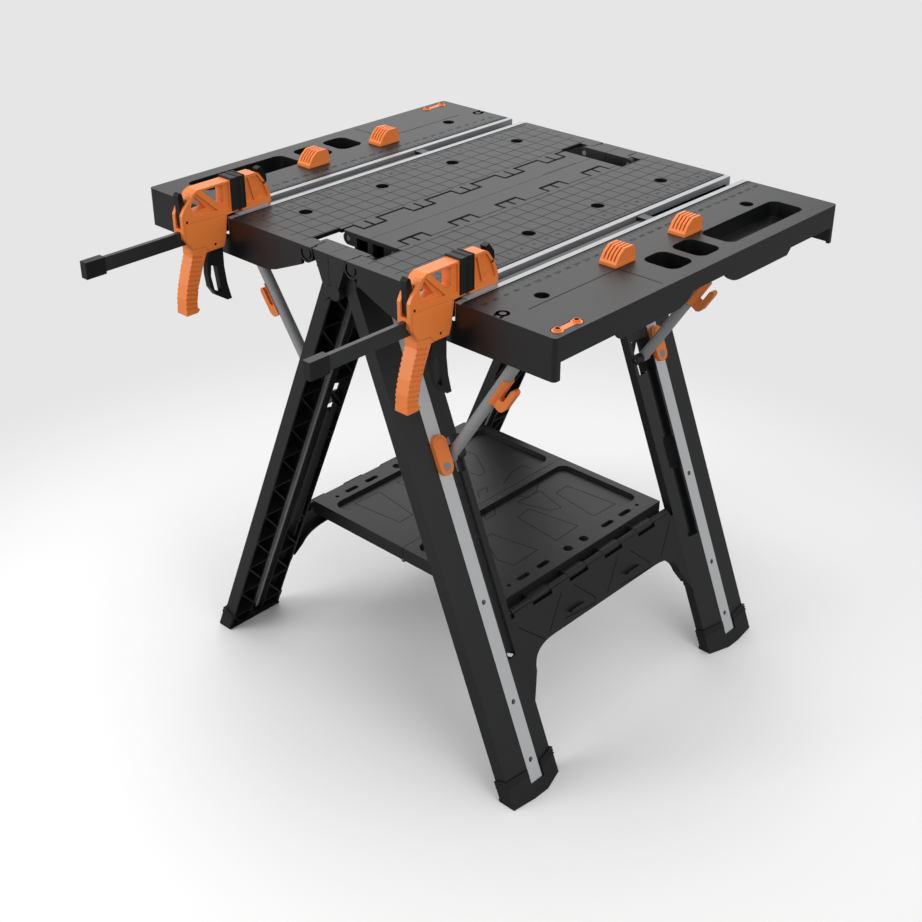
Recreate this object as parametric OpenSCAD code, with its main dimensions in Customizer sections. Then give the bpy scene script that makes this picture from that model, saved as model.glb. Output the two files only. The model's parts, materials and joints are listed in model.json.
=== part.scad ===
// Folding workbench: two fold-down table halves on an A-frame of moulded legs,
// a folding shelf between the legs, two bar clamps in the table tracks and four dogs.
// X runs across the table, Y along its tracks, Z up from the floor.

/* [Table] */
// Table size across both halves
table_w = 787; // [740:1:840]
// Table size along the tracks
table_l = 635; // [600:1:680]
// Height of the table top above the floor
table_h = 775; // [740:1:810]
// Thickness of the table plate
plate_t = 6; // [5:0.5:7]
// Thickness of the table's walls
wall_t = 5; // [4:0.5:6]
// Depth of the walls at the outer corners
skirt_deep = 57.5; // [52:0.5:62]
// Depth of the outer wall where a leg folds in under it
skirt_leg = 33; // [30:0.5:36]
// Depth of the outer wall between the legs
skirt_mid = 42; // [38:0.5:46]
// Rise of the arch in the middle of the outer wall
skirt_rise = 17; // [10:0.5:22]
// Half width of that arch
skirt_arch = 75; // [60:1:90]
// Depth of the ribs under the plate
rib_depth = 9; // [6:0.5:10]
// Distance of the fold hinge from the middle of the table
hinge_x = 44; // [42:0.5:46]
// Depth of the fold hinge's axis below the table top
hinge_drop = 10.4; // [10:0.1:12]

/* [Track] */
// Distance of each track from the middle of the table
track_x = 220.5; // [212:0.5:228]
// Clear width of the track slot
track_gap = 22; // [20:0.5:23]
// Width of one bright rail face
rail_face = 10; // [8:0.5:11]
// Sheet thickness of the track rails
rail_t = 1.8; // [1.5:0.1:2]
// Depth of the track walls below the table top
track_depth = 28; // [27:0.5:29]

/* [Holes and trays] */
// Diameter of the dog holes
dog_hole_d = 20; // [18:0.5:22]
// Spacing of the dog holes
dog_pitch = 152.4; // [140:0.1:160]
// Distance of the inner rows of dog holes from the middle
dog_in_x = 144; // [140:0.5:150]
// Distance of the outer rows of dog holes from the middle
dog_out_x = 297; // [292:0.5:300]
// Length of the hand openings across the table
hand_l = 123; // [115:1:130]
// Width of the hand openings
hand_w = 39; // [34:1:42]
// Distance of the hand openings from the ends of the table
hand_edge = 38.5; // [36:0.5:42]
// Distance of the trays' middle line from the table's outer edge
tray_edge = 51; // [48:0.5:53]
// Width of the trays
tray_w = 55; // [48:1:58]
// Depth of the trays
tray_depth = 24; // [18:0.5:24]
// Corner radius of the trays
tray_r = 14; // [8:0.5:16]
// Distance of the long tray from the table's end
tray_end = 48.5; // [40:0.5:55]
// Length of the long tray
tray_long = 187; // [170:1:190]
// Length of the short trays
tray_short = 48; // [42:1:52]
// Wall between two trays
tray_gap = 15; // [12:1:18]

/* [Legs] */
// Distance of the leg pivot from the middle of the table, across it
pivot_x = 8; // [4:0.5:10]
// Depth of the leg pivot below the table top
pivot_drop = 54; // [48:0.5:60]
// Distance of the legs' outer corners from the middle, on the floor
foot_x = 337; // [320:1:345]
// Distance of the legs' outer sides from the ends of the table
foot_inset = 11.5; // [10.5:0.5:17.5]
// Width of one leg along the tracks
leg_w = 105; // [100:1:112]
// Distance from the pivot line to the open back of a leg
leg_back = 11.5; // [11:0.1:12.5]
// Distance from the pivot line to a leg's outer corner
leg_off = 33.5; // [32:0.1:34]
// Distance from the pivot line to a leg's inner corner
leg_low = 27; // [26:0.1:30]
// Distance from the pivot line to a leg's crest
leg_crest = 38.5; // [38:0.1:39.5]
// Wall thickness of the leg mouldings
leg_t = 3; // [2.5:0.1:3.5]
// Thickness of the leg ribs
leg_rib = 2.2; // [1.8:0.1:2.6]
// Number of bays between the cross ribs of a leg
leg_bays = 12; // [8:1:14]
// Width of the steel strip in each leg
strip_w = 24; // [22:0.5:26]
// Distance of the strip's inner edge from the leg's inner side
strip_in = 39; // [38:0.5:41]
// Depth of the steel channel behind the strip
strip_deep = 18; // [14:0.5:20]
// Height of a foot cap's sleeve along the leg
cap_h = 44; // [30:1:60]
// Wall thickness of a foot cap
cap_t = 2.4; // [2:0.1:3]

/* [Support tubes] */
// Diameter of the support tubes
tube_d = 17; // [15:0.5:18]
// Wall thickness of the support tubes
tube_t = 1.8; // [1.2:0.1:2.4]
// Distance of the support tubes from the legs' inner sides
tube_in = 26; // [25:0.25:27]
// Height of the tubes' lower pivots
tube_z = 480; // [470:1:490]
// Depth of those pivots from the pivot line of the leg
tube_u = 28; // [27.5:0.1:28.5]
// Distance of the tubes' upper ends from the table's outer edge
tube_top_edge = 97.5; // [88:0.5:112]
// Depth of those ends below the table top
tube_top_drop = 47; // [44:0.5:50]

/* [Shelf] */
// Height of the shelf's rim
shelf_z = 253; // [240:1:262]
// Thickness of the shelf
shelf_t = 23; // [20:0.5:25]
// Gap between the shelf's sides and the legs
shelf_side = 7; // [5:0.5:11]
// Distance of the shelf's middle hinge from the middle of the table
mid_x = 2; // [0:0.5:4]
// Depth of the tray in the shelf
shelf_tray = 7; // [4:0.5:9]
// Radius of the shelf hinge knuckles
knuckle_r = 6.5; // [6:0.1:7]
// Distance of the shelf hinges from the pivot line of the leg
shelf_u = 18; // [17:0.25:19]
// Number of hinge pockets along the shelf's end
knuckles = 9; // [5:2:11]

/* [Clamps] */
// Reference length that every outline of a clamp is drawn from
clamp_l = 100; // [96:1:104]
// Width of a clamp's body across the bar
clamp_w = 22; // [20:0.5:24]
// Height of the clamp bar
bar_h = 20; // [17:0.5:20]
// Thickness of the clamp bar
bar_t = 6.5; // [5:0.5:8]
// Length of bar that stands out past the table
bar_out = 235; // [200:1:260]
// Reach of the bar's inner end past the middle of the table
bar_in = 88; // [75:1:110]
// Depth of the bar's top edge below the table top
bar_drop = 4.5; // [4.5:0.1:5]

/* [Hidden] */
$fn = 48;
// Gaps: between seated pieces, between moving faces, round a turning pin, and an overlap to fuse
seat = 0.15;
clear = 0.5;
run = 0.05;
fuse = 0.6;
eps = 1;
// The bench stands with the middle of its whole outline over the origin
shift_y = bar_out / 2;
half_w = table_w / 2;
half_l = table_l / 2;
hinge_z = table_h - hinge_drop;
plate_z = table_h - plate_t;
pivot_z = table_h - pivot_drop;
foot_y = half_l - foot_inset;
tube_top_x = half_w - tube_top_edge;
tray_x = half_w - tray_edge;
hand_y0 = half_l - hand_edge - hand_w;
hand_y1 = half_l - hand_edge;
foot_in = foot_y - leg_w;
tube_y = foot_in + tube_in;
shelf_y = foot_in - shelf_side;
dog_r = dog_hole_d / 2;
pin_r = 4;
far_out = 4 * table_w;

// Tilt of a leg: its outer face passes the foot corner and stays leg_off from the pivot
function tilt(s) = let (run_x = foot_x - s * pivot_x)
    atan2(run_x, pivot_z) - asin(leg_off / norm([run_x, pivot_z]));
// Place of a point of the leg, out from its pivot line and up along it
function leg_xz(s, u, w) = [pivot_x + s * (u * cos(tilt(s)) - w * sin(tilt(s))),
    pivot_z + u * sin(tilt(s)) + w * cos(tilt(s))];
// Distance along the leg at which it reaches a height
function leg_at(s, u, z) = (z - pivot_z - u * sin(tilt(s))) / cos(tilt(s));
// A point of a curve with one bend
function bend(a, b, c, t) = (1 - t) * (1 - t) * a + 2 * t * (1 - t) * b + t * t * c;
function curve(a, b, c, n) = [for (i = [0 : n]) bend(a, b, c, i / n)];
function scaled(points, x, y) = [for (p = points) [p.x * x, p.y * y]];

module place() translate([0, shift_y, 0]) children();
module block(x, y, z)
    translate([x[0], y[0], z[0]]) cube([x[1] - x[0], y[1] - y[0], z[1] - z[0]]);
// Outline in X and Z, drawn out along Y
module along_y(y) translate([0, y[1], 0]) rotate([90, 0, 0])
    linear_extrude(height = y[1] - y[0]) children();
// Outline in Y and Z, drawn out along X
module along_x(x) translate([x[0], 0, 0]) rotate([90, 0, 90])
    linear_extrude(height = x[1] - x[0]) children();
module rod_y(x, z, y, r) translate([x, y[1], z]) rotate([90, 0, 0]) cylinder(r = r, h = y[1] - y[0]);
module rod_x(x, y, z, r) translate([x[0], y, z]) rotate([0, 90, 0]) cylinder(r = r, h = x[1] - x[0]);
module both_ends() for (e = [0, 1]) mirror([0, e, 0]) children();
module side(s) mirror([s < 0 ? 1 : 0, 0, 0]) children();
module half_turn(s) rotate([0, 0, s < 0 ? 180 : 0]) children();
module on_leg(s) translate([pivot_x, 0, pivot_z]) side(s) rotate([0, -tilt(s), 0]) children();
module at_end(e) mirror([0, e < 0 ? 1 : 0, 0]) children();
// Rectangle with round corners
module round_rect(x, y, r) {
    translate([x[0] + r, y[0]]) square([x[1] - x[0] - 2 * r, y[1] - y[0]]);
    translate([x[0], y[0] + r]) square([x[1] - x[0], y[1] - y[0] - 2 * r]);
    for (cx = [x[0] + r, x[1] - r], cy = [y[0] + r, y[1] - r]) translate([cx, cy]) circle(r = r);
}
// Bar with round ends
module slot_shape(a, b, r) {
    v = b - a;
    n = norm(v);
    for (p = [a, b]) translate(p) circle(r = r);
    translate(a) rotate(atan2(v.y, v.x)) translate([0, -r]) square([n, 2 * r]);
}

/* Legs */
strip_v = [foot_in + strip_in, foot_in + strip_in + strip_w];
rail_wall = 2.5;
leg_top_w = 8;
solid_top_w = -14;
pocket_up = 30;
pocket_down = 26;
pocket_in = 5;
boss_wall = 4.4;
groove_half = 10.75;
groove_end = 18;
hook_at_share = 0.57;
hook_window = 27;
sole_t = 4;
function tube_foot(s) = leg_xz(s, tube_u, leg_at(s, tube_u, tube_z));
function tube_head() = [tube_top_x, table_h - tube_top_drop];
function tube_len(s) = norm([tube_top_x - s * tube_foot(s).x, tube_head().y - tube_z]);
function tube_rise(s) = atan2(tube_head().y - tube_z, tube_top_x - s * tube_foot(s).x);

// Outline of a leg, grown by g
function leg_outline(g) = [[leg_back - g, foot_in - g], [leg_low + g, foot_in - g],
    [leg_crest + g, strip_v[0] - rail_wall], [leg_crest + g, strip_v[1] + rail_wall],
    [leg_off + g, foot_y + g], [leg_back - g, foot_y + g]];
// The two hollows beside the steel strip, grown by g
function hollow_in(g) = [[leg_back - eps, foot_in + leg_t - g], [leg_low - leg_t + g, foot_in + leg_t - g],
    [leg_crest - leg_t + g, strip_v[0] - rail_wall + g], [leg_back - eps, strip_v[0] - rail_wall + g]];
function hollow_out(g) = [[leg_back - eps, strip_v[1] + rail_wall - g],
    [leg_crest - leg_t + g, strip_v[1] + rail_wall - g],
    [leg_off - leg_t + g, foot_y - leg_t + g], [leg_back - eps, foot_y - leg_t + g]];

module leg_hollows(g) {
    polygon(hollow_in(g));
    polygon(hollow_out(g));
}

module strip_slot() {
    translate([leg_back - eps, strip_v[0] - seat])
        square([leg_crest - leg_back + 2 * eps, strip_w + 2 * seat]);
}

// Cross ribs and diagonals, closed off by the leg's own hollows
module leg_ribs(s, low) {
    bay = (solid_top_w - low) / leg_bays;
    slope = atan2(bay, leg_w / 2);
    intersection() {
        translate([0, 0, low]) linear_extrude(height = solid_top_w - low) intersection() {
            leg_hollows(fuse);
            translate([leg_back, 0]) square([leg_crest, foot_y]);
        }
        union() {
            for (i = [1 : leg_bays - 1]) translate([0, 0, low + i * bay])
                linear_extrude(height = leg_rib) translate([leg_back - eps, 0]) square([leg_crest, foot_y]);
            for (i = [0 : leg_bays - 1], v = [foot_in, foot_in + leg_w / 2])
                translate([leg_back - eps, v, low + i * bay]) rotate([slope, 0, 0])
                    cube([leg_crest, norm([bay, leg_w / 2]), leg_rib]);
        }
    }
}

// One leg of side s, drawn at the far end; near is true for the leg that gets the open groove
module leg_moulding(s, near) {
    low = leg_at(s, leg_back, 0) - leg_crest;
    w0 = leg_at(s, tube_u, tube_z);
    groove = [w0 - tube_len(s) - groove_end, w0];
    pocket = [w0 - pocket_down, w0 + pocket_up];
    hook_w = w0 - hook_at_share * tube_len(s);
    difference() {
        union() {
            translate([0, 0, low]) linear_extrude(height = solid_top_w - low) difference() {
                polygon(leg_outline(0));
                leg_hollows(0);
                strip_slot();
            }
            translate([0, 0, solid_top_w]) linear_extrude(height = leg_top_w - solid_top_w)
                polygon(leg_outline(0));
            leg_ribs(s, low);
            if (near)
                block([leg_back, leg_low - fuse], [tube_y - groove_half - rail_wall, tube_y - groove_half],
                    groove);
            else
                intersection() {
                    translate([0, 0, groove[0]]) linear_extrude(height = groove[1] - groove[0])
                        polygon(leg_outline(0));
                    translate([tube_u, tube_y, groove[0]])
                        cylinder(r = tube_d / 2 + clear + leg_t, h = groove[1] - groove[0]);
                }
            // Boss that carries the tube's lower pin
            translate([tube_u, 0, w0])
                rod_y(0, 0, [foot_in + fuse, tube_y - tube_d / 2 - clear], boss_wall + pin_r);
        }
        if (near)
            block([leg_back - eps, leg_crest + eps], [tube_y - groove_half, tube_y + groove_half], groove);
        else {
            translate([tube_u, tube_y, groove[0]]) cylinder(r = tube_d / 2 + clear, h = groove[1] - groove[0]);
            block([tube_u, leg_crest + eps],
                [tube_y - tube_d / 2 - clear, tube_y + tube_d / 2 + clear], groove);
            block([leg_back - eps, leg_crest + eps], [tube_y - groove_half, tube_y + groove_half],
                [hook_w - hook_window, hook_w + hook_window]);
        }
        difference() {
            block([tube_u - tube_d / 2 - clear, leg_crest + eps],
                [foot_in + pocket_in, strip_v[0] - rail_wall], pocket);
            translate([tube_u, 0, w0])
                rod_y(0, 0, [foot_in + fuse, tube_y - tube_d / 2 - clear], boss_wall + pin_r);
        }
        translate([tube_u, 0, w0]) rod_y(0, 0, [foot_in - eps, strip_v[0] - seat], pin_r + run);
    }
}

/* Panel between the two legs of a side */
panel_t = 5;
panel_rim = 4;
panel_depth = 14;
panel_arch_z = 182;
panel_knee_z = 150;
panel_toe_z = 112;
arch_reach = 74;
knee_reach = 20;
panel_arch_y = foot_in - arch_reach;
panel_knee_y = foot_in - knee_reach;
function shelf_w(s) = leg_at(s, shelf_u, shelf_z - shelf_t + knuckle_r);
function panel_outline(s, g) = let (w = shelf_w(s) - knuckle_r - seat,
        y0 = foot_in + fuse, u = leg_off)
    concat([[-y0 + g, leg_at(s, u, panel_toe_z) + g], [-y0 + g, w - g], [y0 - g, w - g],
        [y0 - g, leg_at(s, u, panel_toe_z) + g]],
        curve([panel_knee_y + g, leg_at(s, u, panel_knee_z)],
            [panel_knee_y - panel_rim + g, leg_at(s, u, panel_arch_z) + g],
            [panel_arch_y, leg_at(s, u, panel_arch_z) + g], 8),
        curve([-panel_arch_y, leg_at(s, u, panel_arch_z) + g],
            [-panel_knee_y + panel_rim - g, leg_at(s, u, panel_arch_z) + g],
            [-panel_knee_y - g, leg_at(s, u, panel_knee_z)], 8));
hook_y = 70;
hook_w_size = 16;
hook_t = 3;

module cross_panel(s) {
    w = shelf_w(s);
    u0 = leg_low - panel_t;
    difference() {
        along_x([u0 - panel_depth + panel_t, leg_low]) polygon(panel_outline(s, 0));
        along_x([u0 - panel_depth, u0]) polygon(panel_outline(s, panel_rim));
    }
    // Shelf hinge: beam with one knuckle to each second pocket
    pitch = 2 * shelf_y / knuckles;
    for (i = [0 : 2 : knuckles - 1]) {
        y0 = -shelf_y + i * pitch;
        difference() {
            union() {
                translate([shelf_u, 0, w]) rod_y(0, 0, [y0 + clear, y0 + pitch - clear], knuckle_r);
                block([shelf_u, leg_low], [y0 + clear, y0 + pitch - clear], [w - knuckle_r - eps, w]);
            }
            translate([shelf_u, 0, w]) rod_y(0, 0, [y0, y0 + pitch], pin_r / 2 + run);
        }
    }
    // Two small hook ledges
    for (y = [-hook_y, hook_y])
        block([leg_low - fuse, leg_low + hook_w_size / 2],
            [y - hook_w_size, y + hook_w_size], [w - 3 * hook_w_size, w - 3 * hook_w_size + hook_t]);
}

/* Head of a leg frame: the middle beam, the end bridges and the leg pivot */
beam_x = 36;
tongue_x = 52;
beam_h = 30;
beam_t = 4.6;
seam = 0.3;
finger_share = 0.41;
finger_pitch = finger_share * hand_y0;
finger_half = 23.5;
finger_groups = 2;
finger_r = 9.5;
tongue_turn = 50;
sweep_r = 13.7;
plate_b_r = 11.6;
plate_a_r = 11;
plate_v = 11;
lug_l = 10;
spine_r = 33;
spine_l = 34.8;
notch_r = 53;
notch_l = 56.5;
pivot_pin_r = 5;
neck_u = [13, 17, 22];
neck_w = [-24, -20, -2];
seat_w = 9;
seat_u = 1.5;
seat_y = 16;
boss_r = 7.5;
boss_t = 5;
function spine(s) = s > 0 ? spine_r : spine_l;
function notch(s) = s > 0 ? notch_r : notch_l;

// Tongue of the beam: round under the hinge axis, with its top corner kept inside the table's notch
module tongue(y) {
    along_y(y) polygon([[spine_r - beam_t, hinge_z - finger_r], [spine_r - beam_t, table_h],
        [tongue_x, table_h],
        [hinge_x + finger_r * cos(tongue_turn), hinge_z + finger_r * sin(tongue_turn)],
        [hinge_x, hinge_z], [hinge_x, hinge_z - finger_r]]);
    rod_y(hinge_x, hinge_z, y, finger_r);
}

module beam_half(s) {
    y = [-hand_y0, hand_y0];
    difference() {
        union() {
            block([seam, beam_x - beam_t], y, [table_h - beam_h, table_h]);
            tongue(y);
        }
        block([seam + beam_t, beam_x - 2 * beam_t], [-hand_y0 - eps, hand_y0 + eps],
            [table_h - beam_h - eps, plate_z]);
        for (i = [-finger_groups : finger_groups])
            block([spine(s), tongue_x + finger_r],
                [i * finger_pitch - finger_half, i * finger_pitch + finger_half],
                [table_h - 2 * beam_h, table_h + eps]);
    }
}

module end_bridge() {
    difference() {
        block([seam, beam_x], [hand_y1, half_l - plate_v], [table_h - beam_h, table_h]);
        block([seam + beam_t, beam_x - beam_t], [hand_y1 + beam_t, half_l - plate_v - beam_t],
            [table_h - beam_h - eps, plate_z]);
        rod_y(hinge_x, hinge_z, [hand_y1 - eps, half_l], sweep_r);
        rod_y(pivot_x, pivot_z, [half_l - plate_v - beam_t - eps, half_l], plate_b_r);
    }
    // Lug that carries the table's hinge pin
    difference() {
        union() {
            rod_y(hinge_x, hinge_z, [hand_y1 + seam, hand_y1 + lug_l], finger_r);
            along_y([hand_y1 + seam, hand_y1 + lug_l]) polygon([[beam_x - 2 * beam_t, table_h],
                [hinge_x, table_h], [hinge_x, hinge_z - finger_r], [beam_x - 2 * beam_t, hinge_z - finger_r]]);
        }
        rod_y(hinge_x, hinge_z, [hand_y1, hand_y1 + lug_l + eps], pin_r + run);
    }
}

// Neck between a leg's top and the beam, as an outline in X and Z
function neck(s) = let (a = leg_xz(s, leg_back, solid_top_w + leg_top_w),
        b = leg_xz(s, leg_crest - eps, leg_top_w - eps))
    [[s * (seam + eps), table_h - beam_h + beam_t], [s * (beam_x - beam_t / 2), table_h - beam_h + beam_t],
        b, [b.x, b.y - leg_top_w], a];

module head(s) {
    side(s) beam_half(s);
    both_ends() {
        side(s) end_bridge();
        along_y([foot_in, hand_y0]) polygon(neck(s));
        along_y([hand_y1, foot_y]) polygon(neck(s));
        if (s < 0) left_pivot();
        else right_pivot();
    }
}

// Outer plate with the pivot pin
module left_pivot() {
    y = [half_l - plate_v, half_l - seam];
    low = [for (i = [0 : 2]) leg_xz(-1, neck_u[i], neck_w[i])];
    along_y(y) polygon(concat([[-beam_x + beam_t, table_h], [-seam, table_h], [-seam, pivot_z + plate_a_r / 2],
        [pivot_x, pivot_z]], low));
    rod_y(pivot_x, pivot_z, y, plate_a_r);
    rod_y(pivot_x, pivot_z, [half_l - plate_v - seat_y - 2 * clear, half_l - plate_v + eps], pivot_pin_r);
    along_y([foot_y - fuse, half_l - plate_v + fuse]) polygon(concat(low, [leg_xz(-1, neck_u[0], 0)]));
}

// Outer plate that meets it, and the open seat round the pin
module right_pivot() {
    y = [half_l - plate_v, half_l - seam];
    difference() {
        along_y(y) polygon([[seam, table_h], [beam_x, table_h], [beam_x / 2, pivot_z + finger_r],
            [pivot_x, pivot_z], [seam, pivot_z + finger_r]]);
        rod_y(pivot_x, pivot_z, [half_l - plate_v - eps, half_l], plate_b_r);
        rod_y(hinge_x, hinge_z, [half_l - plate_v - eps, half_l], sweep_r);
    }
    difference() {
        on_leg(1) block([seat_u, leg_back + fuse], [half_l - plate_v - seat_y - clear, half_l - plate_v - clear],
            [-seat_w, seat_w]);
        rod_y(pivot_x, pivot_z, [half_l - plate_v - seat_y - eps, half_l], pivot_pin_r + run);
    }
}

module leg_frame(s) {
    difference() {
        union() {
            on_leg(s) {
                at_end(1) leg_moulding(s, false);
                at_end(-1) leg_moulding(s, true);
                cross_panel(s);
            }
            intersection() {
                on_leg(s) both_ends() translate([0, 0, -table_h - foot_x])
                    linear_extrude(height = table_h + foot_x) polygon(leg_outline(0));
                block([-far_out, far_out], [-far_out, far_out], [sole_t + seat, sole_t + seat + leg_t]);
            }
            head(s);
        }
        block([-far_out, far_out], [-far_out, far_out], [-far_out, sole_t + seat]);
        both_ends() block([-hand_l / 2, hand_l / 2], [hand_y0, hand_y1], [pivot_z + finger_r, table_h + eps]);
        side(s) rod_y(hinge_x, hinge_z, [-hand_y0 - eps, hand_y0 + eps], pin_r + run);
    }
}

/* Steel strip of a leg: a channel with its face outwards and two lips */
strip_t = 1.6;
strip_lip = 5;
strip_low_z = 20;
strip_holes_share = [0.34, 0.62, 0.83, 0.955];
strip_hole_r = 4;
module leg_rail(s, e) {
    low = leg_at(s, leg_crest, strip_low_z);
    high = solid_top_w - seat;
    u0 = leg_crest - strip_deep;
    screw_w = leg_at(s, leg_crest, tube_z);
    on_leg(s) at_end(e) difference() {
        translate([0, 0, low]) linear_extrude(height = high - low) {
            translate([leg_crest - strip_t, strip_v[0]]) square([strip_t, strip_w]);
            for (v = [strip_v[0], strip_v[1] - strip_t]) translate([u0, v]) square([strip_deep, strip_t]);
            translate([u0, strip_v[0]]) square([strip_t, strip_lip]);
            translate([u0, strip_v[1] - strip_lip]) square([strip_t, strip_lip]);
        }
        for (f = strip_holes_share) translate([0, 0, high + f * (low - high)])
            rod_x([leg_crest - 2 * strip_t, leg_crest + eps], (strip_v[0] + strip_v[1]) / 2, 0, strip_hole_r);
        translate([0, 0, screw_w])
            rod_x([leg_crest - 2 * strip_t, leg_crest + eps], (strip_v[0] + strip_v[1]) / 2, 0, screw_r + run);
        translate([0, 0, leg_at(s, tube_u, tube_z)])
            rod_y(0, 0, [strip_v[0] - eps, strip_v[0] + 2 * strip_t], pin_r + clear);
    }
}

/* Foot cap: a boot open at the back, with raised bands */
band_h = 2;
band_t = 1;
band_gap = 4.5;
module foot_cap(s, e) {
    low = leg_at(s, leg_back, 0) - leg_crest;
    top = leg_at(s, leg_off, 0) + cap_h;
    difference() {
        on_leg(s) at_end(e) {
            translate([0, 0, low]) linear_extrude(height = top - low) polygon(leg_outline(cap_t));
            for (i = [0 : 2]) translate([0, 0, top - band_h - i * band_gap])
                linear_extrude(height = band_h) polygon(leg_outline(cap_t + band_t));
        }
        difference() {
            on_leg(s) at_end(e) translate([0, 0, low]) linear_extrude(height = top - low + eps)
                polygon(leg_outline(seat));
            block([-far_out, far_out], [-far_out, far_out], [-far_out, sole_t]);
        }
        // Gap in the front wall, where the steel strip runs down over the leg
        on_leg(s) at_end(e) block([leg_low, 2 * leg_crest], [strip_v[0] - rail_wall, strip_v[1] + rail_wall],
            [leg_at(s, leg_crest, strip_low_z) - clear, top + eps]);
        difference() {
            on_leg(s) at_end(e) block([-leg_crest, leg_back], [foot_in - 2 * cap_t, foot_y + 2 * cap_t],
                [low, top + eps]);
            block([-far_out, far_out], [-far_out, far_out], [-far_out, sole_t]);
        }
        block([-far_out, far_out], [-far_out, far_out], [-far_out, 0]);
    }
}

/* Support tube: its lower end turns on a pin, its upper end stands under the table */
hook_r = 18.5;
hook_y_t = 5;
module support_tube(s, e) {
    side(s) at_end(e) translate([s * tube_foot(s).x, tube_y, tube_z])
        rotate([0, 90 - tube_rise(s), 0]) difference() {
            union() {
                cylinder(r = tube_d / 2, h = tube_len(s));
                rod_y(0, 0, [-tube_d / 2 + eps, tube_d / 2 - eps], tube_d / 2 - seam);
            }
            translate([0, 0, tube_d / 2 + tube_t]) cylinder(r = tube_d / 2 - tube_t, h = tube_len(s));
            rod_y(0, 0, [-tube_d, tube_d], pin_r + run);
        }
}

// Hook on a saddle along the tube, on the side that faces down and out, open towards the table
hook_w = 25;
hook_wall = 2;
hook_shares = [[-0.3, -1.4], [0.65, -1.4], [0.89, -1.19], [1, -0.86], [1, 0.86], [0.95, 1.13], [0.78, 1.22],
    [0.62, 1.13], [0.52, 0.92], [0.52, -0.32], [0.38, -0.49], [0.1, -0.49], [0.1, 1.35], [-0.3, 1.35]];
module tube_hook(s, e) {
    side(s) at_end(e) translate([s * tube_foot(s).x, tube_y, tube_z])
        rotate([0, 90 - tube_rise(s), 0]) translate([0, 0, hook_at_share * tube_len(s)]) difference() {
            union() {
                translate([0, 0, -hook_w]) cylinder(r = tube_d / 2 + hook_wall, h = 2 * hook_w);
                translate([tube_d / 2, 0, 0]) along_y([-hook_y_t, hook_y_t])
                    polygon(scaled(hook_shares, hook_r, hook_r));
            }
            translate([0, 0, -2 * hook_r]) cylinder(r = tube_d / 2 + run, h = 4 * hook_r);
            block([-tube_d, tube_d / 8], [-tube_d, tube_d], [-2 * hook_r, 2 * hook_r]);
        }
}

/* Latch over each steel strip, and the screws and pins of the legs */
latch_w = 25;
latch_l = 34;
latch_t = 8;
screw_r = 3;
screw_head = 6;
screw_head_t = 2.4;
button_r = 8.5;
button_t = 1.2;
module latch(s, e) {
    v = (strip_v[0] + strip_v[1]) / 2;
    u = [leg_crest + seat, leg_crest + seat + latch_t];
    on_leg(s) at_end(e) translate([0, 0, leg_at(s, leg_crest, tube_z)]) difference() {
        union() {
            rod_x(u, v, 0, latch_w / 2);
            rod_x(u, v, latch_l, latch_w / 2);
            block(u, [v - latch_w / 2, v + latch_w / 2], [0, latch_l]);
            rod_x([u[0], u[1] + button_t], v, latch_l, button_r);
        }
        rod_x([0, 2 * leg_crest], v, 0, screw_r + run);
        rod_x([u[1] - screw_head_t, 2 * leg_crest], v, 0, screw_head + run);
    }
}

module leg_screws(s) {
    v = (strip_v[0] + strip_v[1]) / 2;
    u = leg_crest + seat + latch_t;
    on_leg(s) both_ends() {
        translate([0, 0, leg_at(s, leg_crest, tube_z)]) {
            rod_x([leg_crest - strip_deep + 2 * strip_t, u - screw_head_t + seat], v, 0, screw_r);
            rod_x([u - screw_head_t + seat, u + seat], v, 0, screw_head);
        }
        translate([0, 0, leg_at(s, tube_u, tube_z)])
            rod_y(tube_u, 0, [foot_in + pocket_in - fuse, strip_v[0] - rail_wall - seat], pin_r);
    }
}

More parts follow.
